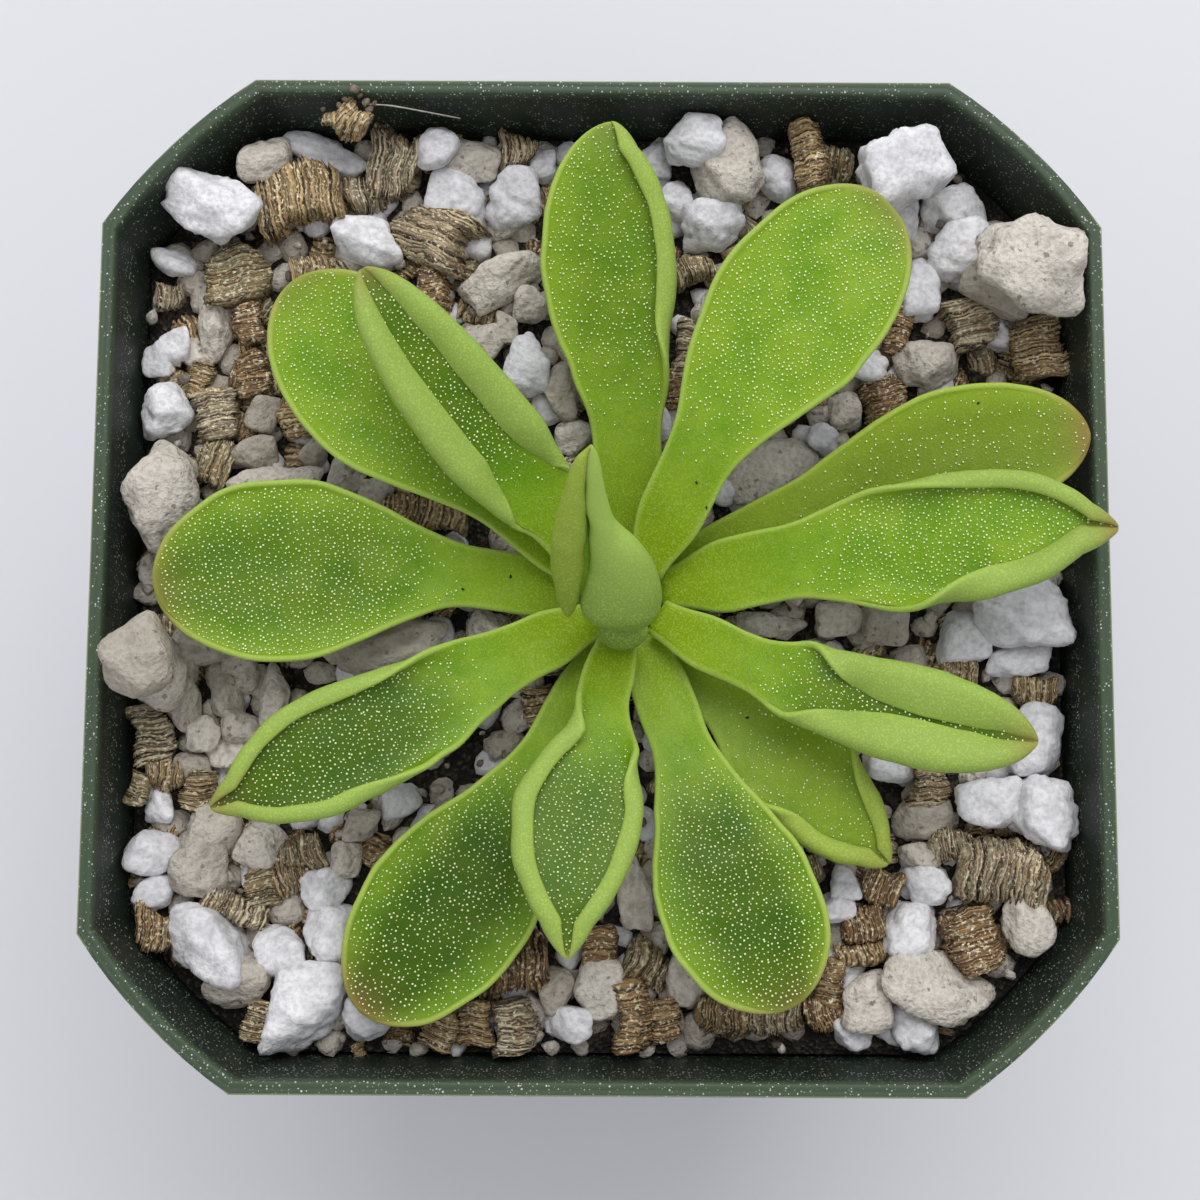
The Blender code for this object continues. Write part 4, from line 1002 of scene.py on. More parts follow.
def cube_sphere(count):
    """Directions and faces of a sphere as six joined grids: each face of a cube drawn out to the sphere."""
    steps = np.tan(np.linspace(-1, 1, count + 1) * math.pi / 4)
    a, b = np.meshgrid(steps, steps, indexing="ij")
    one = np.ones_like(a)
    grids = [np.stack(axes, -1) for axes in ((one, a, b), (-one, b, a), (b, one, a), (a, -one, b),
                                             (a, b, one), (b, a, -one))]
    points = unit(np.concatenate([grid.reshape(-1, 3) for grid in grids]))
    _, first, same = np.unique(np.round(points, 5), axis=0, return_index=True, return_inverse=True)
    same = same.reshape(-1)
    row, col = np.meshgrid(np.arange(count), np.arange(count), indexing="ij")
    corner = (row * (count + 1) + col).ravel()
    quads = np.stack((corner, corner + count + 1, corner + count + 2, corner + 1), 1)
    shift = np.arange(6)[:, None, None] * (count + 1) ** 2
    return points[first], same[(quads[None] + shift).reshape(-1, 4)]


def rock_forms(directions, count, rng, planes, power):
    """Rocks of half size 1, as (count, points, 3): the smooth minimum of random planes around a sphere."""
    axes = np.concatenate((np.eye(3), -np.eye(3)))
    normals = np.concatenate((unit(rng.normal(size=(count, planes, 3))),
                              np.broadcast_to(axes, (count, 6, 3))), 1)
    reach = np.concatenate((rng.uniform(0.70, 1.0, (count, planes)), np.full((count, 6), 1.05)), 1)
    facing = np.maximum(np.einsum("vk,cmk->cvm", directions, normals), 0) / reach[:, None]
    forms = directions[None] * ((facing**power).sum(-1) ** (-1 / power))[..., None]
    return forms / np.abs(forms).max(1, keepdims=True)


def laid_out(forms, rows):
    """Forms of half size 1 scaled to each row's half sizes, turned about Z and moved to its place."""
    sized = forms * rows[:, None, 3:6]
    c, s = np.cos(rows[:, 6])[:, None], np.sin(rows[:, 6])[:, None]
    x = sized[..., 0] * c - sized[..., 1] * s
    y = sized[..., 0] * s + sized[..., 1] * c
    return np.stack((x, y, sized[..., 2]), -1) + rows[:, None, :3]


def perlite_grains(rows, count, seed):
    """Perlite: a soft rock whose skin swells into pillows between creases, |ripple| of about 1.6 mm."""
    rng = np.random.default_rng(seed)
    directions, quads = cube_sphere(count)
    forms = rock_forms(directions, len(rows), rng, 9, 7)
    points = laid_out(forms, rows)
    apart = points + rng.uniform(-500, 500, (len(rows), 1, 3))
    size = rows[:, 3:6].mean(1)[:, None]
    pillows = np.abs(ripple(apart, 2.6, seed)) - 0.5
    knobs = np.abs(ripple(apart, 1.1, seed + 1)) - 0.5
    lift = size * (0.10 * pillows + 0.045 * knobs)
    points = points + directions[None] * lift[..., None]
    # How far each point lies in a crease; the material paints shade there.
    crease = (np.clip(1 - 2.2 * np.abs(pillows + 0.5), 0, 1) * 0.6
              + np.clip(1 - 2.5 * np.abs(knobs + 0.5), 0, 1) * 0.4)
    tone = np.broadcast_to(rng.uniform(size=(len(rows), 1)), crease.shape)
    return repeated(points, [quads], grain=np.stack((tone, crease, 0 * tone), -1))


def pumice_grains(rows, count, seed):
    """Pumice: a rounded rock with ripples of 1 to 3 mm and small round pits, each a smooth dimple."""
    rng = np.random.default_rng(seed)
    directions, quads = cube_sphere(count)
    forms = rock_forms(directions, len(rows), rng, 12, 9)
    points = laid_out(forms, rows)
    apart = points + rng.uniform(-500, 500, (len(rows), 1, 3))
    size = rows[:, 3:6].mean(1)[:, None]
    lift = size * (0.07 * ripple(apart, 3.0, seed) + 0.03 * ripple(apart, 1.1, seed + 1)
                   + 0.012 * ripple(apart, 0.5, seed + 2))
    pits = unit(rng.normal(size=(len(rows), PITS, 3)))
    radius = rng.uniform(0.10, 0.26, (len(rows), 1, PITS))
    angle = np.arccos(np.clip(np.einsum("vk,cmk->cvm", directions, pits), -1, 1))
    hollow = ease(1.3 - angle / radius).max(-1)
    points = points + directions[None] * (lift - 0.16 * hollow * np.minimum(size / 2.5, 1))[..., None]
    tone = np.broadcast_to(rng.uniform(size=(len(rows), 1)), hollow.shape)
    # The hollows go to the material, which paints shade in them.
    return repeated(points, [quads], grain=np.stack((tone, hollow, 0 * tone), -1))


def vermiculite_grains(rows, layers, around, seed):
    """Vermiculite: a ragged block of thin wavy plates, each broken off a little differently.

    Two rings to a plate, its rim and the groove after it. A ring is the smooth minimum of random
    sides, and each side wanders in and out from plate to plate. The stack as a whole tapers and
    bends a little, and waves 2 mm long bend the plates.
    """
    rows = restacked(rows, np.random.default_rng(seed))
    rng = np.random.default_rng(seed)
    count, rings, sides = len(rows), 2 * layers, 6
    at = np.linspace(-1, 1, rings)
    plate = np.arange(rings) // 2
    groove = np.arange(rings) % 2
    turn = np.linspace(0, 2 * math.pi, around, endpoint=False)
    faced = np.concatenate((rng.uniform(0, 2 * math.pi, (count, sides)),
                            np.broadcast_to(np.arange(4) * math.pi / 2, (count, 4))), 1)
    walk = rng.normal(0, 0.055, (count, layers, sides + 4)).cumsum(1)
    away = np.concatenate((rng.uniform(0.72, 1.0, (count, 1, sides)), np.ones((count, 1, 4))), 2) + walk
    away = np.clip(away, 0.55, 1.1)[:, plate]
    facing = np.maximum(np.cos(turn[None, None, :, None] - faced[:, None, None]), 0) / away[:, :, None]
    outline = (facing**14).sum(-1) ** (-1 / 14)
    broken = 1 + rng.normal(0, 0.035, (count, layers, around))[:, plate]
    sunk = groove[None, :, None] * rng.uniform(0.02, 0.16, (count, rings, 1))
    sunk = sunk * np.where(rng.uniform(size=sunk.shape) < 0.18, 2.5, 1.0)
    radius = outline * broken * (1 - sunk) * (1 - 0.22 * np.abs(at)**9)[None, :, None] * 0.95
    taper = 1 + rng.uniform(-0.25, 0.25, (count, 1, 1)) * at[None, :, None]
    aside = rng.uniform(-0.5, 0.5, (count, 1, 1)) * (at**2 - 0.4)[None, :, None]
    forms = np.stack((at[None, :, None] + 0 * radius, radius * taper * np.cos(turn) + aside,
                      radius * np.sin(turn)), -1).reshape(count, -1, 3)
    ends = np.stack((forms[:, :around].mean(1), forms[:, -around:].mean(1)), 1)
    forms = np.concatenate((forms, ends), 1)
    size = rows[:, None, 3:6]
    apart = forms * size * (0.35, 1, 1) + rng.uniform(-500, 500, (count, 1, 3))
    forms[..., 0] += np.minimum(0.17 / size[..., 0], 0.12) * ripple(apart, 2.0, seed)
    forms[..., 2] += 0.10 * ripple(apart, 4.0, seed + 1)
    points = laid_out(forms, rows)
    faces = closed_loft(np.zeros((rings, around, 3)))[1]
    along = np.broadcast_to((at * rows[:, 3:4])[..., None], radius.shape).reshape(count, -1)
    # The depth of each groove, where the material paints shade.
    deep = np.broadcast_to(5 * sunk, radius.shape).reshape(count, -1)
    along = np.concatenate((along, -rows[:, 3:4], rows[:, 3:4]), 1)
    deep = np.concatenate((deep, np.zeros((count, 2))), 1)
    tone = np.broadcast_to(rng.uniform(size=(count, 1)), along.shape)
    return repeated(points, faces, grain=np.stack((tone, np.clip(deep, 0, 1), along), -1))


def crumb_rows(count, seed):
    """Places and sizes of crumbs between the grains: seeded, on the bed or on the wall's foot."""
    rng = np.random.default_rng(seed)
    places = []
    while len(places) < count:
        x, y = rng.uniform(-36, 36, 2)
        size = rng.uniform(0.35, 1.3)
        if room_to_wall(x, y) > size / 2 + 0.1 and math.hypot(x - CROWN_X, y - CROWN_Y) > CROWN_ROOM:
            z = settle(x, y, size / 2, size / 2, rng.uniform(0.2, 0.9))
            if z is not None:
                places.append((x, y, z, size / 2, size * rng.uniform(0.3, 0.5), size * 0.4,
                               rng.uniform(0, math.pi)))
    return np.array(places)


def thread_skin():
    """A thin thread along a smooth curve through its places."""
    path = smooth_rows(THREAD, 30)
    heading = unit(np.gradient(path, axis=0))
    side = unit(np.cross(heading, (0.0, 0.0, 1.0)))
    turn = np.linspace(0, 2 * math.pi, 6, endpoint=False)[None, :, None]
    rings = path[:, None] + THREAD_RADIUS * (np.cos(turn) * side[:, None]
                                             + np.sin(turn) * np.cross(heading, side)[:, None])
    return closed_loft(rings, {"grain": np.full_like(rings, THREAD_TONE) * (1, 0, 0)})


def speck_rows():
    """Rows of the specks of soil, each half sunk in its leaf's upper face."""
    rows = []
    for name, share, across in SOIL_SPECKS:
        leaf = next(leaf for leaf in LEAVES if leaf.name == name)
        place = on_blade(leaf, np.array((share,)), np.array((across,)))[0][0]
        rows.append((*place, 0.16, 0.10, 0.08, share * 9))
    return np.array(rows)


# Materials

# Painted shade: the colours that the shaded middle of a blade is multiplied towards, above and below, and the
# painted shade in the grooves of vermiculite
SHADE_ABOVE = linear("#869538")
SHADE_BELOW = linear("#ADB5A2")
GROOVE_SHADE = linear("#211912")

# How far noise shifts a pit's outline, in metres
PIT_STRAY = 0.0005


def add_node(tree, kind, inputs=None, output=None, **settings):
    """Adds a node and returns one of its outputs: the named one, or else the first in use.

    settings are the node's own fields. inputs are values, colours or other nodes' outputs, by name or
    number. A Mix node mixes colours, and a node whose parts are asked for gives all its outputs.
    """
    made = tree.nodes.new("ShaderNode" + kind)
    if kind == "Mix":
        made.data_type = "RGBA"
    for name, value in settings.items():
        setattr(made, name, value)
    for key, value in (inputs or {}).items():
        socket = made.inputs[key]
        if isinstance(value, bpy.types.NodeSocket):
            tree.links.new(value, socket)
        else:
            socket.default_value = (*value, 1.0) if socket.type == "RGBA" and len(value) == 3 else value
    if output == "parts":
        return made.outputs
    return made.outputs[output] if output else next(socket for socket in made.outputs if socket.enabled)


def start_material(name, **fixed):
    """A new material: it, a function that adds a node to it, and one that links its shader's inputs.

    The fixed values are set on the Principled shader's own sockets.
    """
    made = bpy.data.materials.new(name)
    made.use_nodes = True
    tree = made.node_tree
    shader = tree.nodes["Principled BSDF"]
    for key, value in fixed.items():
        socket = shader.inputs[key.replace("_", " ")]
        socket.default_value = (*value, 1.0) if socket.type == "RGBA" else value

    def link(**found):
        for key, output in found.items():
            tree.links.new(output, shader.inputs[key.replace("_", " ")])

    return made, partial(add_node, tree), link


def leaf_material(name, look, under):
    """Butterwort leaf: glossy green above, paler and matt underneath, yellow-green at the crown.

    Reads `above` (1 above, 0 below), `zone` (base, brown tip, margin) and `mood` (painted shade in the
    middle, olive, light border). Mottling is 3 mm across and the grain of the skin 0.15 mm, as on the
    plant. The pale flecks of the upper face are partly painted sheen.
    """
    made, node, link = start_material(
        name, Subsurface_Weight=0.12, Subsurface_Scale=0.0012, Subsurface_Radius=(0.5, 1.0, 0.1),
        Specular_IOR_Level=0.14, Sheen_Weight=0.01, Sheen_Roughness=0.4)
    upper = node("Attribute", output="Fac", attribute_name="above")
    (base, blush, edge), (shade, warm, border) = (
        node("SeparateXYZ", {"Vector": node("Attribute", output="Vector", attribute_name=key)}, "parts")
        for key in ("zone", "mood"))
    place = node("TexCoord", output="Object")
    mottle = node("TexNoise", {"Vector": place, "Scale": 300.0, "Detail": 3.0})
    grain = node("TexNoise", {"Vector": place, "Scale": 5200.0, "Detail": 1.0})
    fleck = node("TexNoise", {"Vector": place, "Scale": 6500.0, "Detail": 1.0})
    mottle = node("MapRange", {0: mottle, 1: 0.35, 2: 0.65})
    fleck = node("MapRange", {0: fleck, 1: 0.48, 2: 0.68})
    green = node("Mix", {0: mottle, 6: look.dark, 7: look.light})
    green = node("Mix", {0: warm, 6: green, 7: look.olive})
    # Painted shade: the upper face's green is multiplied towards SHADE_ABOVE by the shade value.
    green = node("Mix", {0: shade, 6: green, 7: SHADE_ABOVE}, blend_type="MULTIPLY")
    some = node("Math", {0: border, 1: 0.7}, operation="MULTIPLY")
    green = node("Mix", {0: some, 6: green, 7: look.border})
    green = node("Mix", {0: base, 6: green, 7: look.base})
    # Pale flecks, stronger towards the crown and weaker in painted shade: partly flecks of the skin, partly
    # painted sheen.
    silky = node("MapRange", {0: base, 3: 0.15, 4: 0.36})
    silky = node("Math", {0: shade, 1: -0.15, 2: silky}, operation="MULTIPLY_ADD", use_clamp=True)
    strength = node("Math", {0: fleck, 1: silky}, operation="MULTIPLY")
    above = node("Mix", {0: strength, 6: green, 7: look.pale})
    weak = node("Math", {0: fleck, 1: 0.5}, operation="MULTIPLY")
    below = node("Mix", {0: warm, 6: under, 7: look.sallow})
    # Painted shade on the underside too.
    below = node("Mix", {0: shade, 6: below, 7: SHADE_BELOW}, blend_type="MULTIPLY")
    below = node("Mix", {0: weak, 6: below, 7: look.pale})
    body = node("Mix", {0: upper, 6: below, 7: above})
    lit = node("Math", {0: edge, 1: 0.3}, operation="MULTIPLY")
    body = node("Mix", {0: lit, 6: body, 7: look.pale})
    burnt = node("Math", {0: blush, 1: 0.75}, operation="MULTIPLY")
    body = node("Mix", {0: burnt, 6: body, 7: look.brown})
    skin = node("Bump", {"Height": grain, "Strength": 0.4, "Distance": 0.00005})
    skin = node("Bump", {"Height": fleck, "Strength": 0.12, "Distance": 0.0001, "Normal": skin})
    link(Base_Color=body, Roughness=node("MapRange", {0: upper, 3: 0.50, 4: 0.34}), Normal=skin)
    return made


def drop_material(look):
    """Sticky drop on a gland: pale yellow and very glossy."""
    return start_material("mucilage", Base_Color=tuple(look.drop), Roughness=0.12, Specular_IOR_Level=0.8)[0]


def hair_material(look):
    """Fine pale hair of the leaf, slightly silky."""
    return start_material("leaf_hair", Base_Color=tuple(look.hair), Roughness=0.4, Sheen_Weight=0.2)[0]


def grain_material(name, dark, light, crease, pit, pit_size, pits, grit=1.0):
    """Mineral grain: tone by the grain, painted shade in its creases, random darker dirt, and small ragged
    pits of varied size.

    Reads `grain` (tone, crease, mm along). pit_size is the pits' spacing in metres, pits their
    strength and grit the roughness of the skin, which is grainy by 0.1 to 0.4 mm, as on the stones.
    """
    made, node, link = start_material(name, Roughness=0.85, Specular_IOR_Level=0.25)
    grain = node("Attribute", output="Vector", attribute_name="grain")
    tone, deep, _ = node("SeparateXYZ", {"Vector": grain}, "parts")
    place = node("TexCoord", output="Object")
    cloud = node("TexNoise", {"Vector": place, "Scale": 700.0, "Detail": 4.0})
    mixed = node("Math", {0: cloud, 1: 0.8, 2: -0.4}, operation="MULTIPLY_ADD")
    share = node("Math", {0: tone, 1: mixed}, operation="ADD", use_clamp=True)
    body = node("Mix", {0: share, 6: dark, 7: light})
    # Painted shade in the creases and hollows, from the grain's second value.
    sunk = node("Math", {0: deep, 1: 0.6}, operation="MULTIPLY")
    body = node("Mix", {0: sunk, 6: body, 7: crease})
    fine = node("TexNoise", {"Vector": place, "Scale": 2600.0, "Detail": 4.0})
    dirt = node("MapRange", {0: fine, 1: 0.56, 2: 0.36, 3: 0.0, 4: 0.38})
    body = node("Mix", {0: dirt, 6: body, 7: crease})
    stray = node("TexNoise", {"Vector": place, "Scale": 4000.0, "Detail": 2.0}, "Color")
    bent = node("VectorMath", {0: stray, 1: (PIT_STRAY,) * 3, 2: place}, operation="MULTIPLY_ADD")
    distance, cell, *_ = node("TexVoronoi", {"Vector": bent, "Scale": 1 / pit_size}, "parts")
    size = node("MapRange", {0: node("SeparateXYZ", {"Vector": cell}), 1: 0.45, 2: 1.0, 3: 0.0, 4: 0.38})
    inside = node("Math", {0: size, 1: distance}, operation="SUBTRACT")
    hole = node("MapRange", {0: inside, 1: 0.0, 2: 0.1})
    faint = node("Math", {0: hole, 1: pits}, operation="MULTIPLY")
    body = node("Mix", {0: faint, 6: body, 7: pit})
    skin = node("Bump", {"Height": fine, "Strength": grit, "Distance": 0.0003})
    skin = node("Bump", {"Height": faint, "Strength": 0.6, "Distance": 0.0001, "Normal": skin}, invert=True)
    link(Base_Color=body, Normal=skin)
    return made


def flake_material(look):
    """Vermiculite: bands of dark and bright plates along the stack, with small mica glints.

    Reads `grain` (tone, groove depth, where shade is painted, mm along). Its colour goes from brown over
    gold to silver and olive with the tone, and a band is about 0.15 mm, as in the mineral.
    """
    made, node, link = start_material("vermiculite", Metallic=0.1, Specular_IOR_Level=0.5)
    grain = node("Attribute", output="Vector", attribute_name="grain")
    tone, deep, along = node("SeparateXYZ", {"Vector": grain}, "parts")
    place = node("TexCoord", output="Object")
    wander = node("TexNoise", {"Vector": place, "Scale": 900.0, "Detail": 3.0})
    bands = node("Math", {0: wander, 1: 0.9, 2: along}, operation="MULTIPLY_ADD")
    own = node("Math", {0: tone, 1: 50.0, 2: bands}, operation="MULTIPLY_ADD")
    stripe = node("TexNoise", {"W": own, "Scale": 4.5, "Detail": 3.0}, noise_dimensions="1D")
    stripe = node("MapRange", {0: stripe, 1: 0.34, 2: 0.60})
    plates = look.flake_brown
    for start, next_tint in ((0.15, look.flake_gold), (0.45, look.flake_grey), (0.75, look.flake_olive)):
        share = node("MapRange", {0: tone, 1: start, 2: start + 0.2})
        plates = node("Mix", {0: share, 6: plates, 7: next_tint})
    patch = node("MapRange", {0: wander, 1: 0.42, 2: 0.62, 3: 0.0, 4: 0.55})
    plates = node("Mix", {0: patch, 6: plates, 7: look.flake_brown})
    body = node("Mix", {0: stripe, 6: look.flake_dark, 7: plates})
    glint = node("TexNoise", {"Vector": place, "Scale": 3400.0, "Detail": 2.0})
    glint = node("MapRange", {0: glint, 1: 0.55, 2: 0.64})
    body = node("Mix", {0: glint, 6: body, 7: look.flake_glint})
    # Painted shade in the grooves between the plates.
    sunk = node("Math", {0: deep, 1: 0.85}, operation="MULTIPLY")
    body = node("Mix", {0: sunk, 6: body, 7: GROOVE_SHADE})
    fine = node("TexNoise", {"Vector": place, "Scale": 3000.0, "Detail": 2.0})
    skin = node("Bump", {"Height": stripe, "Strength": 0.9, "Distance": 0.00015})
    skin = node("Bump", {"Height": fine, "Strength": 0.7, "Distance": 0.00015, "Normal": skin})
    link(Base_Color=body, Roughness=node("MapRange", {0: glint, 3: 0.6, 4: 0.25}), Normal=skin)
    return made


def plastic_material(look):
    """Dark green polypropylene, satin, dusted with white specks of perlite up to 0.12 mm across.

    Reads `trim` (the rim's outer edge, the rim's top, where dust lies). A highlight is painted on the
    rim's outer edge and light on the rim's top, while the walls are kept dark as partly painted shade.
    """
    made, node, link = start_material("green_polypropylene", Specular_IOR_Level=0.3)
    place = node("TexCoord", output="Object")
    trim = node("Attribute", output="Vector", attribute_name="trim")
    edge, top, dusty = node("SeparateXYZ", {"Vector": trim}, "parts")
    cloud = node("TexNoise", {"Vector": place, "Scale": 160.0, "Detail": 4.0})
    cloud = node("MapRange", {0: cloud, 1: 0.3, 2: 0.7})
    body = node("Mix", {0: cloud, 6: look.wall_dark, 7: look.wall_light})
    # Painted light on the rim's top.
    body = node("Mix", {0: top, 6: body, 7: look.rim})
    # Painted highlight on the rim's thin outer edge.
    body = node("Mix", {0: edge, 6: body, 7: look.painted_rim_highlight})
    distance, cell, *_ = node("TexVoronoi", {"Vector": place, "Scale": 4400.0}, "parts")
    chance, other, _ = node("SeparateXYZ", {"Vector": cell}, "parts")
    size = node("MapRange", {0: chance, 1: 0.0, 2: 1.0, 3: 0.0, 4: 0.34})
    dust = node("Math", {0: distance, 1: size}, operation="LESS_THAN")
    shown = node("Math", {0: dust, 1: other}, operation="MULTIPLY")
    shown = node("Math", {0: shown, 1: dusty}, operation="MULTIPLY")
    body = node("Mix", {0: shown, 6: body, 7: look.dust})
    fine = node("TexNoise", {"Vector": place, "Scale": 2200.0, "Detail": 3.0})
    skin = node("Bump", {"Height": fine, "Strength": 0.18, "Distance": 0.0001})
    link(Base_Color=body, Roughness=node("MapRange", {0: dust, 3: 0.5, 4: 0.9}), Normal=skin)
    return made


def fines_material(look):
    """Dark damp fines between the grains: brown dust with paler bits, its dark partly painted shade for the
    gaps between the grains.
    """
    made, node, link = start_material("fines", Roughness=0.85)
    place = node("TexCoord", output="Object")
    distance, cell, *_ = node("TexVoronoi", {"Vector": place, "Scale": 3200.0}, "parts")
    pale = node("MapRange", {0: node("SeparateXYZ", {"Vector": cell}), 1: 0.55, 2: 1.0, 3: 0.0, 4: 1.0})
    body = node("Mix", {0: pale, 6: look.fines_dark, 7: look.fines_light})
    link(Base_Color=body, Normal=node("Bump", {"Height": distance, "Strength": 0.9, "Distance": 0.0003}))
    return made


def stem_material(look):
    """Pale yellow-green stem, faintly ribbed lengthways."""
    made, node, link = start_material("stem_tissue", Roughness=0.55, Subsurface_Weight=0.1,
                                      Subsurface_Scale=0.001)
    place = node("TexCoord", output="Object")
    long = node("VectorMath", {0: place, 1: (1600.0, 1600.0, 300.0)}, operation="MULTIPLY")
    ribs = node("TexNoise", {"Vector": long, "Scale": 1.0, "Detail": 2.0})
    link(Base_Color=node("Mix", {0: ribs, 6: look.base, 7: look.pale}),
         Normal=node("Bump", {"Height": ribs, "Strength": 0.4, "Distance": 0.0001}))
    return made


def floor_material(look):
    """Matt pale board, hardly mottled."""
    made, node, link = start_material("pale_board", Roughness=0.8, Specular_IOR_Level=0.2)
    place = node("TexCoord", output="Object")
    cloud = node("TexNoise", {"Vector": place, "Scale": 9.0, "Detail": 2.0})
    faint = node("MapRange", {0: cloud, 3: 0.97, 4: 1.03})
    link(Base_Color=node("Mix", {0: 1.0, 6: look.floor, 7: faint}, blend_type="MULTIPLY"))
    return made


# Settings

def colour(name, code, description):
    """A colour setting whose default is given as #RRGGBB."""
    return bpy.props.FloatVectorProperty(name=name, description=description, size=3, min=0.0, max=1.0,
                                         default=linear(code), subtype="COLOR")


def length(name, value, description):
    """A length setting in metres."""
    return bpy.props.FloatProperty(name=name, description=description, default=value, min=0.00002, max=0.1,
                                   unit="LENGTH", subtype="DISTANCE", precision=5)


def count(name, value, description):
    """A number of pieces."""
    return bpy.props.IntProperty(name=name, description=description, default=value, min=0, max=3000)


class LeafLook(bpy.types.PropertyGroup):
    """Colours and sizes of the leaves, glands and hairs"""
    dark: colour("Dark green", "#5E9110", "Darker patches of a blade's upper face")
    light: colour("Light green", "#80A624", "Lighter patches of a blade's upper face")
    border: colour("Border", "#86A522", "Lighter green towards the margins")
    base: colour("Base", "#7B970D", "Yellow-green of the necks at the crown")
    olive: colour("Olive", "#7F9022", "Older leaves")
    under: colour("Underside", "#8DAA55", "Underside, seen where a margin rolls over")
    sallow: colour("Sallow underside", "#98A733", "Yellower parts of the underside")
    brown: colour("Brown tip", "#8E6B42", "Tips and the edge beside them")
    # Its flecks on the upper face are partly painted sheen.
    pale: colour("Pale fleck", "#B4CC5C", "Flecks of the skin and thin margins")
    young: colour("Young leaf", "#A8C664", "Downy outside of the rolled young leaf")
    drop: colour("Drop", "#F3FDBC", "Sticky drops on the glands")
    hair: colour("Hair", "#C4D784", "Fine hairs on the necks")
    gland_spacing: length("Gland spacing", 0.00041, "Distance between neighbouring glands")
    drop_radius: length("Drop radius", 0.000075, "Radius of a gland's drop")
    hair_length: length("Hair length", 0.00055, "Length of a hair on a neck")
    hairs: count("Hairs", 260, "Hairs on each blade")


class PotLook(bpy.types.PropertyGroup):
    """Colours of the pot"""
    # The plastic's dark green, kept darker than the rim's top, partly as painted shade.
    wall_dark: colour("Dark plastic", "#202821", "Darker clouds of the plastic")
    wall_light: colour("Light plastic", "#29332A", "Lighter clouds of the plastic")
    # Painted light on the rim's top, lighter than the walls because light falls on it.
    rim: colour("Rim", "#3F4E3A", "Worn top of the rim")
    # Painted highlight along the rim's thin outer edge.
    painted_rim_highlight: colour("Rim edge", "#A9B48A", "Thin outer edge of the rim, where light comes through")
    dust: colour("Dust", "#C9CEC6", "Mineral dust on the plastic")


class MixLook(bpy.types.PropertyGroup):
    """Colours and amounts of the potting mix"""
    perlite_dark: colour("Grey perlite", "#DBDADE", "Greyer perlite grains")
    perlite_light: colour("White perlite", "#F1F0F2", "Whitest perlite grains")
    # Painted shade in the creases of the perlite, also the colour of its random dirt.
    perlite_shade_and_dirt: colour("Perlite crease", "#A9A7A9", "Creases between the pillows of perlite")
    perlite_pit: colour("Perlite pit", "#8C8884", "Pits of the perlite")
    pumice_dark: colour("Dark pumice", "#AFA799", "Greyer pumice grains")
    pumice_light: colour("Light pumice", "#D9D2C7", "Palest pumice grains")
    # Painted shade in the hollows of the pumice, also the colour of its random dirt.
    pumice_shade_and_dirt: colour("Pumice crease", "#91867A", "Dirt in the hollows of the pumice")
    pumice_pit: colour("Pumice pit", "#5F564B", "Pits of the pumice")
    crumb_dark: colour("Dark crumb", "#5A4936", "Darkest crumbs between the grains")
    flake_brown: colour("Brown flake", "#B48D5E", "Brown plates of vermiculite")
    flake_gold: colour("Golden flake", "#E0C088", "Golden plates of vermiculite")
    flake_grey: colour("Grey flake", "#DACBAA", "Silver-grey plates of vermiculite")
    flake_olive: colour("Olive flake", "#C3B487", "Olive plates of vermiculite")
    flake_dark: colour("Dark flake", "#4A3824", "Dark plates of vermiculite")
    flake_glint: colour("Mica glint", "#F6E9C6", "Bright glints of mica")
    # Dark of the damp fines, partly painted shade for the gaps between the grains.
    fines_dark: colour("Dark fines", "#16120E", "Damp dust between the grains")
    fines_light: colour("Pale fines", "#4E4438", "Pale bits among the dust")
    crumbs: count("Crumbs", 700, "Small crumbs between the grains")


class StageLook(bpy.types.PropertyGroup):
    """Floor and light of the studio"""
    floor: colour("Floor", "#DADADE", "Pale board under the pot")
    sky: colour("Sky", "#F4F5F8", "Even light from all sides")
    sky_strength: bpy.props.FloatProperty(name="Sky strength", description="Strength of the even light",
                                          default=0.86, min=0.0, max=10.0)
    key_power: bpy.props.FloatProperty(name="Key light", description="Power of the large soft light",
                                       default=2.3, min=0.0, max=1000.0, unit="POWER")
    key_size: length("Key size", 0.45, "Side of the large soft light")


LOOKS = {"leaf": LeafLook, "pot": PotLook, "mix": MixLook, "stage": StageLook}


def look(name):
    return getattr(bpy.context.scene, f"butterwort_{name}")


# Stage, in metres and degrees
FLAT_RADIUS = 0.6
WALL_RADIUS = 2.4
FLOOR_SIDES = 72
LAMP_PLACE = (0.05, 0.36, 0.52)
LAMP_AIM = (0.0, 0.0, 0.06)
CAMERA_TURN = (5.5903, 0.0414, 0.2954)


# Operators

class BUTTERWORT_OT_pot(bpy.types.Operator):
    """Square pot with a rounded rim, a stepped band and drain holes, in place of the plain solid"""
    bl_idname = "butterwort.pot"
    bl_label = "Pot"

    def execute(self, context):
        pot = add_piece("nursery_pot", closed_loft(pot_rings()), plastic_material(look("pot")),
                        nodes=("pot",))
        cut_drains(pot)
        spots = np.empty(3 * len(pot.data.vertices))
        pot.data.vertices.foreach_get("co", spots)
        store(pot.data, "trim", pot_trim(spots.reshape(-1, 3) / MM - (0, 0, RIM_HEIGHT)))
        return {"FINISHED"}


class BUTTERWORT_OT_crown(bpy.types.Operator):
    """Finish of the short stem under the leaves"""
    bl_idname = "butterwort.crown"
    bl_label = "Crown"

    def execute(self, context):
        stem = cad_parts["crown"]
        stem.data.materials.clear()
        stem.data.materials.append(stem_material(look("leaf")))
        return {"FINISHED"}


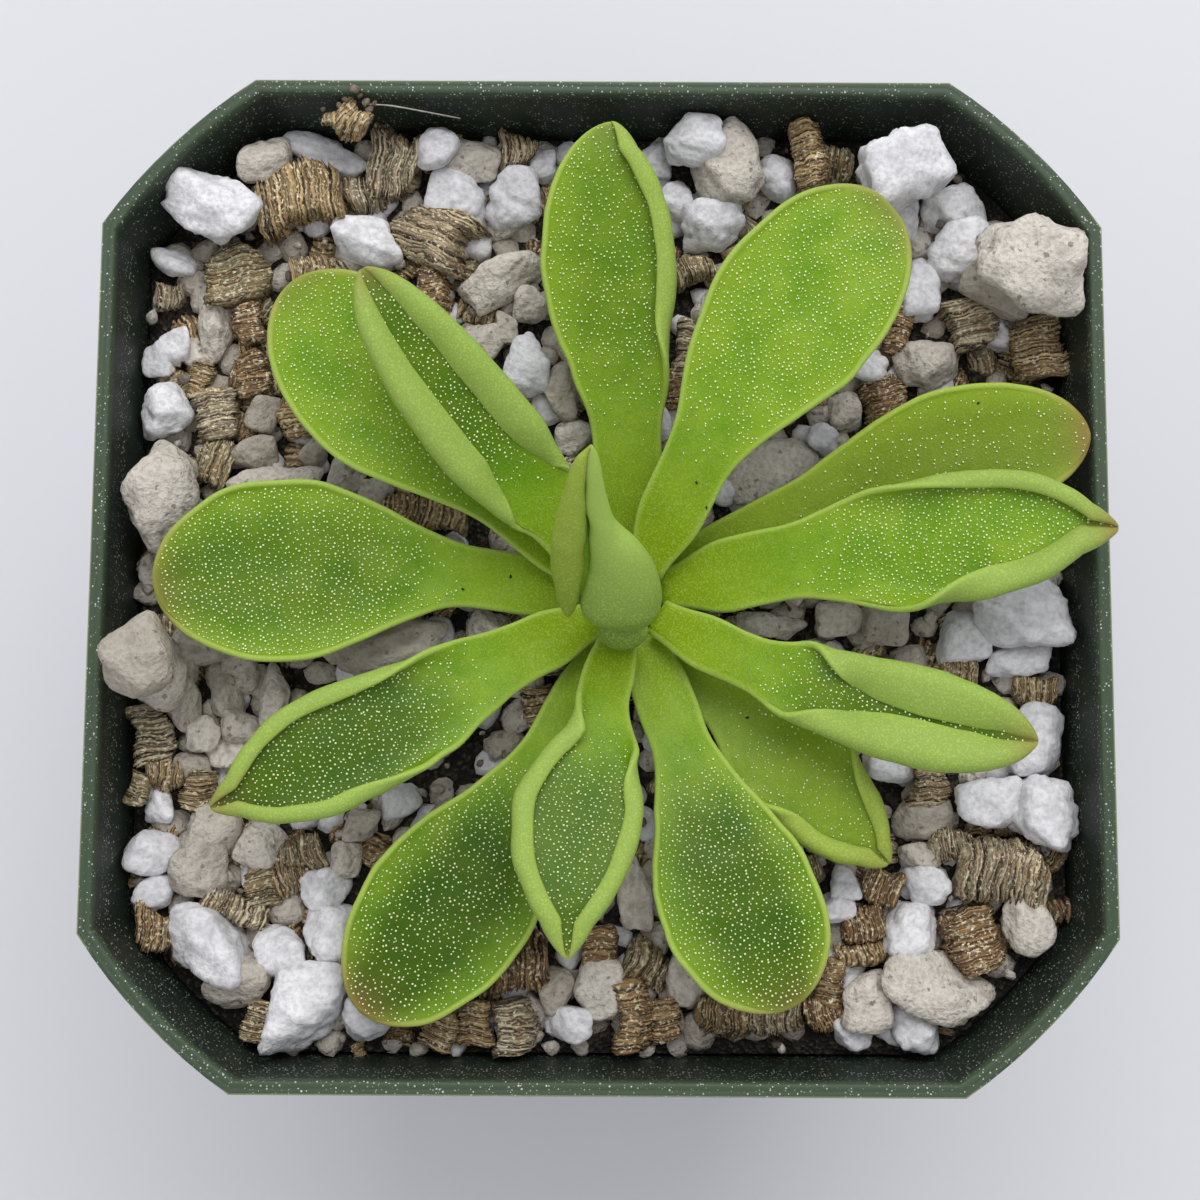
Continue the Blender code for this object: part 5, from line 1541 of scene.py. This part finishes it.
class BUTTERWORT_OT_blades(bpy.types.Operator):
    """The thirteen spreading leaves, with rolled and raised margins"""
    bl_idname = "butterwort.blades"
    bl_label = "Blades"

    def execute(self, context):
        surface = leaf_material("leaf_skin", look("leaf"), look("leaf").under)
        for leaf in LEAVES:
            name = leaf.name.replace("leaf", "blade")
            add_piece(name, blade_skin(leaf), surface, nodes=(leaf.name,))
        return {"FINISHED"}


class BUTTERWORT_OT_young_leaves(bpy.types.Operator):
    """The rolled young leaf with its slit, and the bud below it"""
    bl_idname = "butterwort.young_leaves"
    bl_label = "Young leaves"

    def execute(self, context):
        tints = look("leaf")
        surface = leaf_material("young_leaf_skin", tints, tints.young)
        for name, skin in (("leaf_14", young_skin()), ("leaf_15", bud_skin())):
            add_piece(name.replace("leaf", "young_leaf"), skin, surface, nodes=(name,))
        return {"FINISHED"}


class BUTTERWORT_OT_glands(bpy.types.Operator):
    """Sticky drops on the glands of each blade's upper face"""
    bl_idname = "butterwort.glands"
    bl_label = "Glands"

    def execute(self, context):
        tints = look("leaf")
        surface = drop_material(tints)
        template, faces = drop_shape()
        radius = tints.drop_radius / MM
        for number, leaf in enumerate(LEAVES):
            rng = np.random.default_rng(DROP_SEED + number)
            shares, across = gland_places(leaf, tints.gland_spacing / MM, rng)
            places, normals = on_blade(leaf, shares, across)
            size = radius * rng.uniform(0.6, 1.3, len(places))
            turns = frames_on(normals, rng) * size[:, None, None]
            points = (np.einsum("vk,ckj->cvj", template, turns)
                      + (places + normals * size[:, None] * DROP_LIFT)[:, None])
            add_piece(f"drops_{number + 1:02d}", repeated(points, faces), surface)
        return {"FINISHED"}


class BUTTERWORT_OT_hairs(bpy.types.Operator):
    """Fine pale hairs on the necks and margins of the blades"""
    bl_idname = "butterwort.hairs"
    bl_label = "Hairs"

    def execute(self, context):
        tints = look("leaf")
        surface = hair_material(tints)
        skins = []
        for number, leaf in enumerate(LEAVES):
            rng = np.random.default_rng(HAIR_SEED + number)
            shares = rng.triangular(0.06, 0.36, 0.60, tints.hairs)
            across = rng.uniform(-0.96, 0.96, tints.hairs)
            places, normals = on_blade(leaf, shares, across)
            lying = unit(np.cross(normals, rng.normal(size=normals.shape)))
            ways = unit(normals * rng.uniform(0.15, 0.9, (tints.hairs, 1)) + lying)
            sizes = tints.hair_length / MM * rng.uniform(0.5, 1.2, tints.hairs)
            skins.append(bent_hairs(places, ways, lying, sizes, rng.uniform(0.006, 0.010, tints.hairs)))
        add_piece("neck_hairs", joined(skins), surface)
        return {"FINISHED"}


class BUTTERWORT_OT_bed(bpy.types.Operator):
    """Dark bed of fines that fills the pot under the grains"""
    bl_idname = "butterwort.bed"
    bl_label = "Bed"

    def execute(self, context):
        add_piece("mix_bed", bed_skin(), fines_material(look("mix")), nodes=("potting_mix",))
        return {"FINISHED"}


class BUTTERWORT_OT_grains(bpy.types.Operator):
    """Perlite, pumice and vermiculite grains, detailed on top and plain in the layer below"""
    bl_idname = "butterwort.grains"
    bl_label = "Grains"

    def execute(self, context):
        tints = look("mix")
        rows = grain_rows()
        stones = (
            ("perlite", perlite_grains, grain_material(
                "perlite", tints.perlite_dark, tints.perlite_light, tints.perlite_shade_and_dirt, tints.perlite_pit,
                0.0011, 0.2, 0.45)),
            ("pumice", pumice_grains, grain_material(
                "pumice", tints.pumice_dark, tints.pumice_light, tints.pumice_shade_and_dirt, tints.pumice_pit,
                0.0006, 0.6)),
        )
        for number, (kind, form, surface) in enumerate(stones):
            skins = [form(some, count, seed + number)
                     for some, count, seed in zip(rows[kind], STONE_GRID, (TOP_SEED, LOWER_SEED))]
            add_piece(f"{kind}_grains", joined(skins), surface)
        skins = [vermiculite_grains(some, layers, around, seed + 10) for some, layers, around, seed
                 in zip(rows["vermiculite"], PLATES, PLATE_POINTS, (TOP_SEED, LOWER_SEED))]
        add_piece("vermiculite_grains", joined(skins), flake_material(tints), smooth=False)
        return {"FINISHED"}


class BUTTERWORT_OT_crumbs(bpy.types.Operator):
    """Small crumbs between the grains and at the rim, a thread, and specks of soil on leaves"""
    bl_idname = "butterwort.crumbs"
    bl_label = "Crumbs"

    def execute(self, context):
        tints = look("mix")
        caught = [(x, y, z, size / 2, size * 0.4, size * 0.4, x) for x, y, z, size in RIM_CRUMBS]
        points, faces, values = pumice_grains(
            np.concatenate((crumb_rows(tints.crumbs, CRUMB_SEED), caught)), 2, CRUMB_SEED + 1)
        share = len(caught) * len(points) // (tints.crumbs + len(caught))
        values["grain"][-share:, 0] *= 0.3
        # The pumice pit colour paints shade in the crumbs' hollows and is their random dirt.
        surface = grain_material("crumb_stone", tints.crumb_dark, tints.pumice_light, tints.pumice_pit,
                                 tints.flake_dark, 0.0004, 0.6)
        add_piece("mix_crumbs", joined(((points, faces, values), thread_skin())), surface)
        specks = (*pumice_grains(speck_rows(), 2, CRUMB_SEED + 2)[:2], {})
        add_piece("soil_specks", specks, fines_material(tints))
        return {"FINISHED"}


class BUTTERWORT_OT_stage(bpy.types.Operator):
    """Pale floor, soft light from above and the camera over the plant"""
    bl_idname = "butterwort.stage"
    bl_label = "Stage"

    def execute(self, context):
        tints = look("stage")
        set_floor(tints)
        set_light(tints)
        set_camera()
        return {"FINISHED"}


def set_floor(tints):
    """A round floor, flat up to FLAT_RADIUS and then rising as a parabola to a wall all round."""
    radius = np.concatenate((np.linspace(0.02, FLAT_RADIUS, 8),
                             np.linspace(FLAT_RADIUS + 0.1, WALL_RADIUS, 18)))
    turn = np.linspace(0, 2 * math.pi, FLOOR_SIDES, endpoint=False)
    rise = np.maximum(radius - FLAT_RADIUS, 0)**2 * 0.5
    rings = np.stack((radius[:, None] * np.cos(turn), radius[:, None] * np.sin(turn),
                      rise[:, None] + 0 * turn), -1)
    points = np.concatenate((rings.reshape(-1, 3), [[0, 0, 0]]))
    ring = np.arange(FLOOR_SIDES)
    middle = np.stack((np.full(FLOOR_SIDES, len(points) - 1), ring, (ring + 1) % FLOOR_SIDES), 1)
    faces = ring_faces(len(radius), FLOOR_SIDES)[:, ::-1].tolist() + middle.tolist()
    mesh = bpy.data.meshes.new("studio_floor")
    mesh.from_pydata(points.tolist(), [], faces)
    mesh.materials.append(floor_material(tints))
    mesh.shade_smooth()
    floor = bpy.data.objects.new("studio_floor", mesh)
    bpy.context.scene.collection.objects.link(floor)


def set_light(tints):
    """Even sky, and one large soft light above the far side, turned to the plant."""
    world = bpy.data.worlds.new("studio")
    world.use_nodes = True
    sky = world.node_tree.nodes["Background"].inputs
    sky["Color"].default_value = (*tints.sky, 1.0)
    sky["Strength"].default_value = tints.sky_strength
    bpy.context.scene.world = world
    data = bpy.data.lights.new("softbox", "AREA")
    data.shape, data.size, data.energy = "SQUARE", tints.key_size, tints.key_power
    lamp = bpy.data.objects.new("softbox", data)
    bpy.context.scene.collection.objects.link(lamp)
    lamp.location = LAMP_PLACE
    lamp.rotation_euler = (Vector(LAMP_AIM) - lamp.location).to_track_quat("-Z", "Y").to_euler()


def set_camera():
    """Camera of the photograph, 118 mm over the rim, tilted 5.6 degrees to look a little away."""
    data = bpy.data.cameras.new("camera")
    data.sensor_width, data.lens = 36.0, 48.0
    data.clip_start, data.clip_end = 0.005, 20.0
    camera = bpy.data.objects.new("camera", data)
    camera.location = to_metres((SIGHT_X, SIGHT_Y, SIGHT_HEIGHT))
    camera.rotation_euler = Euler(map(math.radians, CAMERA_TURN), "XYZ")
    bpy.context.scene.collection.objects.link(camera)
    bpy.context.scene.camera = camera
    bpy.context.scene.view_settings.view_transform = "Standard"


OPERATORS = (BUTTERWORT_OT_pot, BUTTERWORT_OT_crown, BUTTERWORT_OT_blades, BUTTERWORT_OT_young_leaves,
             BUTTERWORT_OT_glands, BUTTERWORT_OT_hairs, BUTTERWORT_OT_bed, BUTTERWORT_OT_grains,
             BUTTERWORT_OT_crumbs, BUTTERWORT_OT_stage)


class BUTTERWORT_PT_panel(bpy.types.Panel):
    """Buttons for the pieces and their settings"""
    bl_idname = "BUTTERWORT_PT_panel"
    bl_label = "Butterwort"
    bl_space_type = "VIEW_3D"
    bl_region_type = "UI"
    bl_category = "Butterwort"

    def draw(self, context):
        for operator in OPERATORS:
            self.layout.operator(operator.bl_idname)
        for name, group in LOOKS.items():
            box = self.layout.box()
            box.label(text=group.__doc__)
            for key in group.__annotations__:
                box.prop(look(name), key)


def register():
    for made in (*LOOKS.values(), *OPERATORS, BUTTERWORT_PT_panel):
        bpy.utils.register_class(made)
    for name, group in LOOKS.items():
        setattr(bpy.types.Scene, f"butterwort_{name}", bpy.props.PointerProperty(type=group))


def unregister():
    for name in LOOKS:
        delattr(bpy.types.Scene, f"butterwort_{name}")
    for made in reversed((*LOOKS.values(), *OPERATORS, BUTTERWORT_PT_panel)):
        bpy.utils.unregister_class(made)


def main():
    register()
    for operator in OPERATORS:
        getattr(bpy.ops.butterwort, operator.bl_idname.split(".")[1])()


if __name__ == "__main__":
    main()
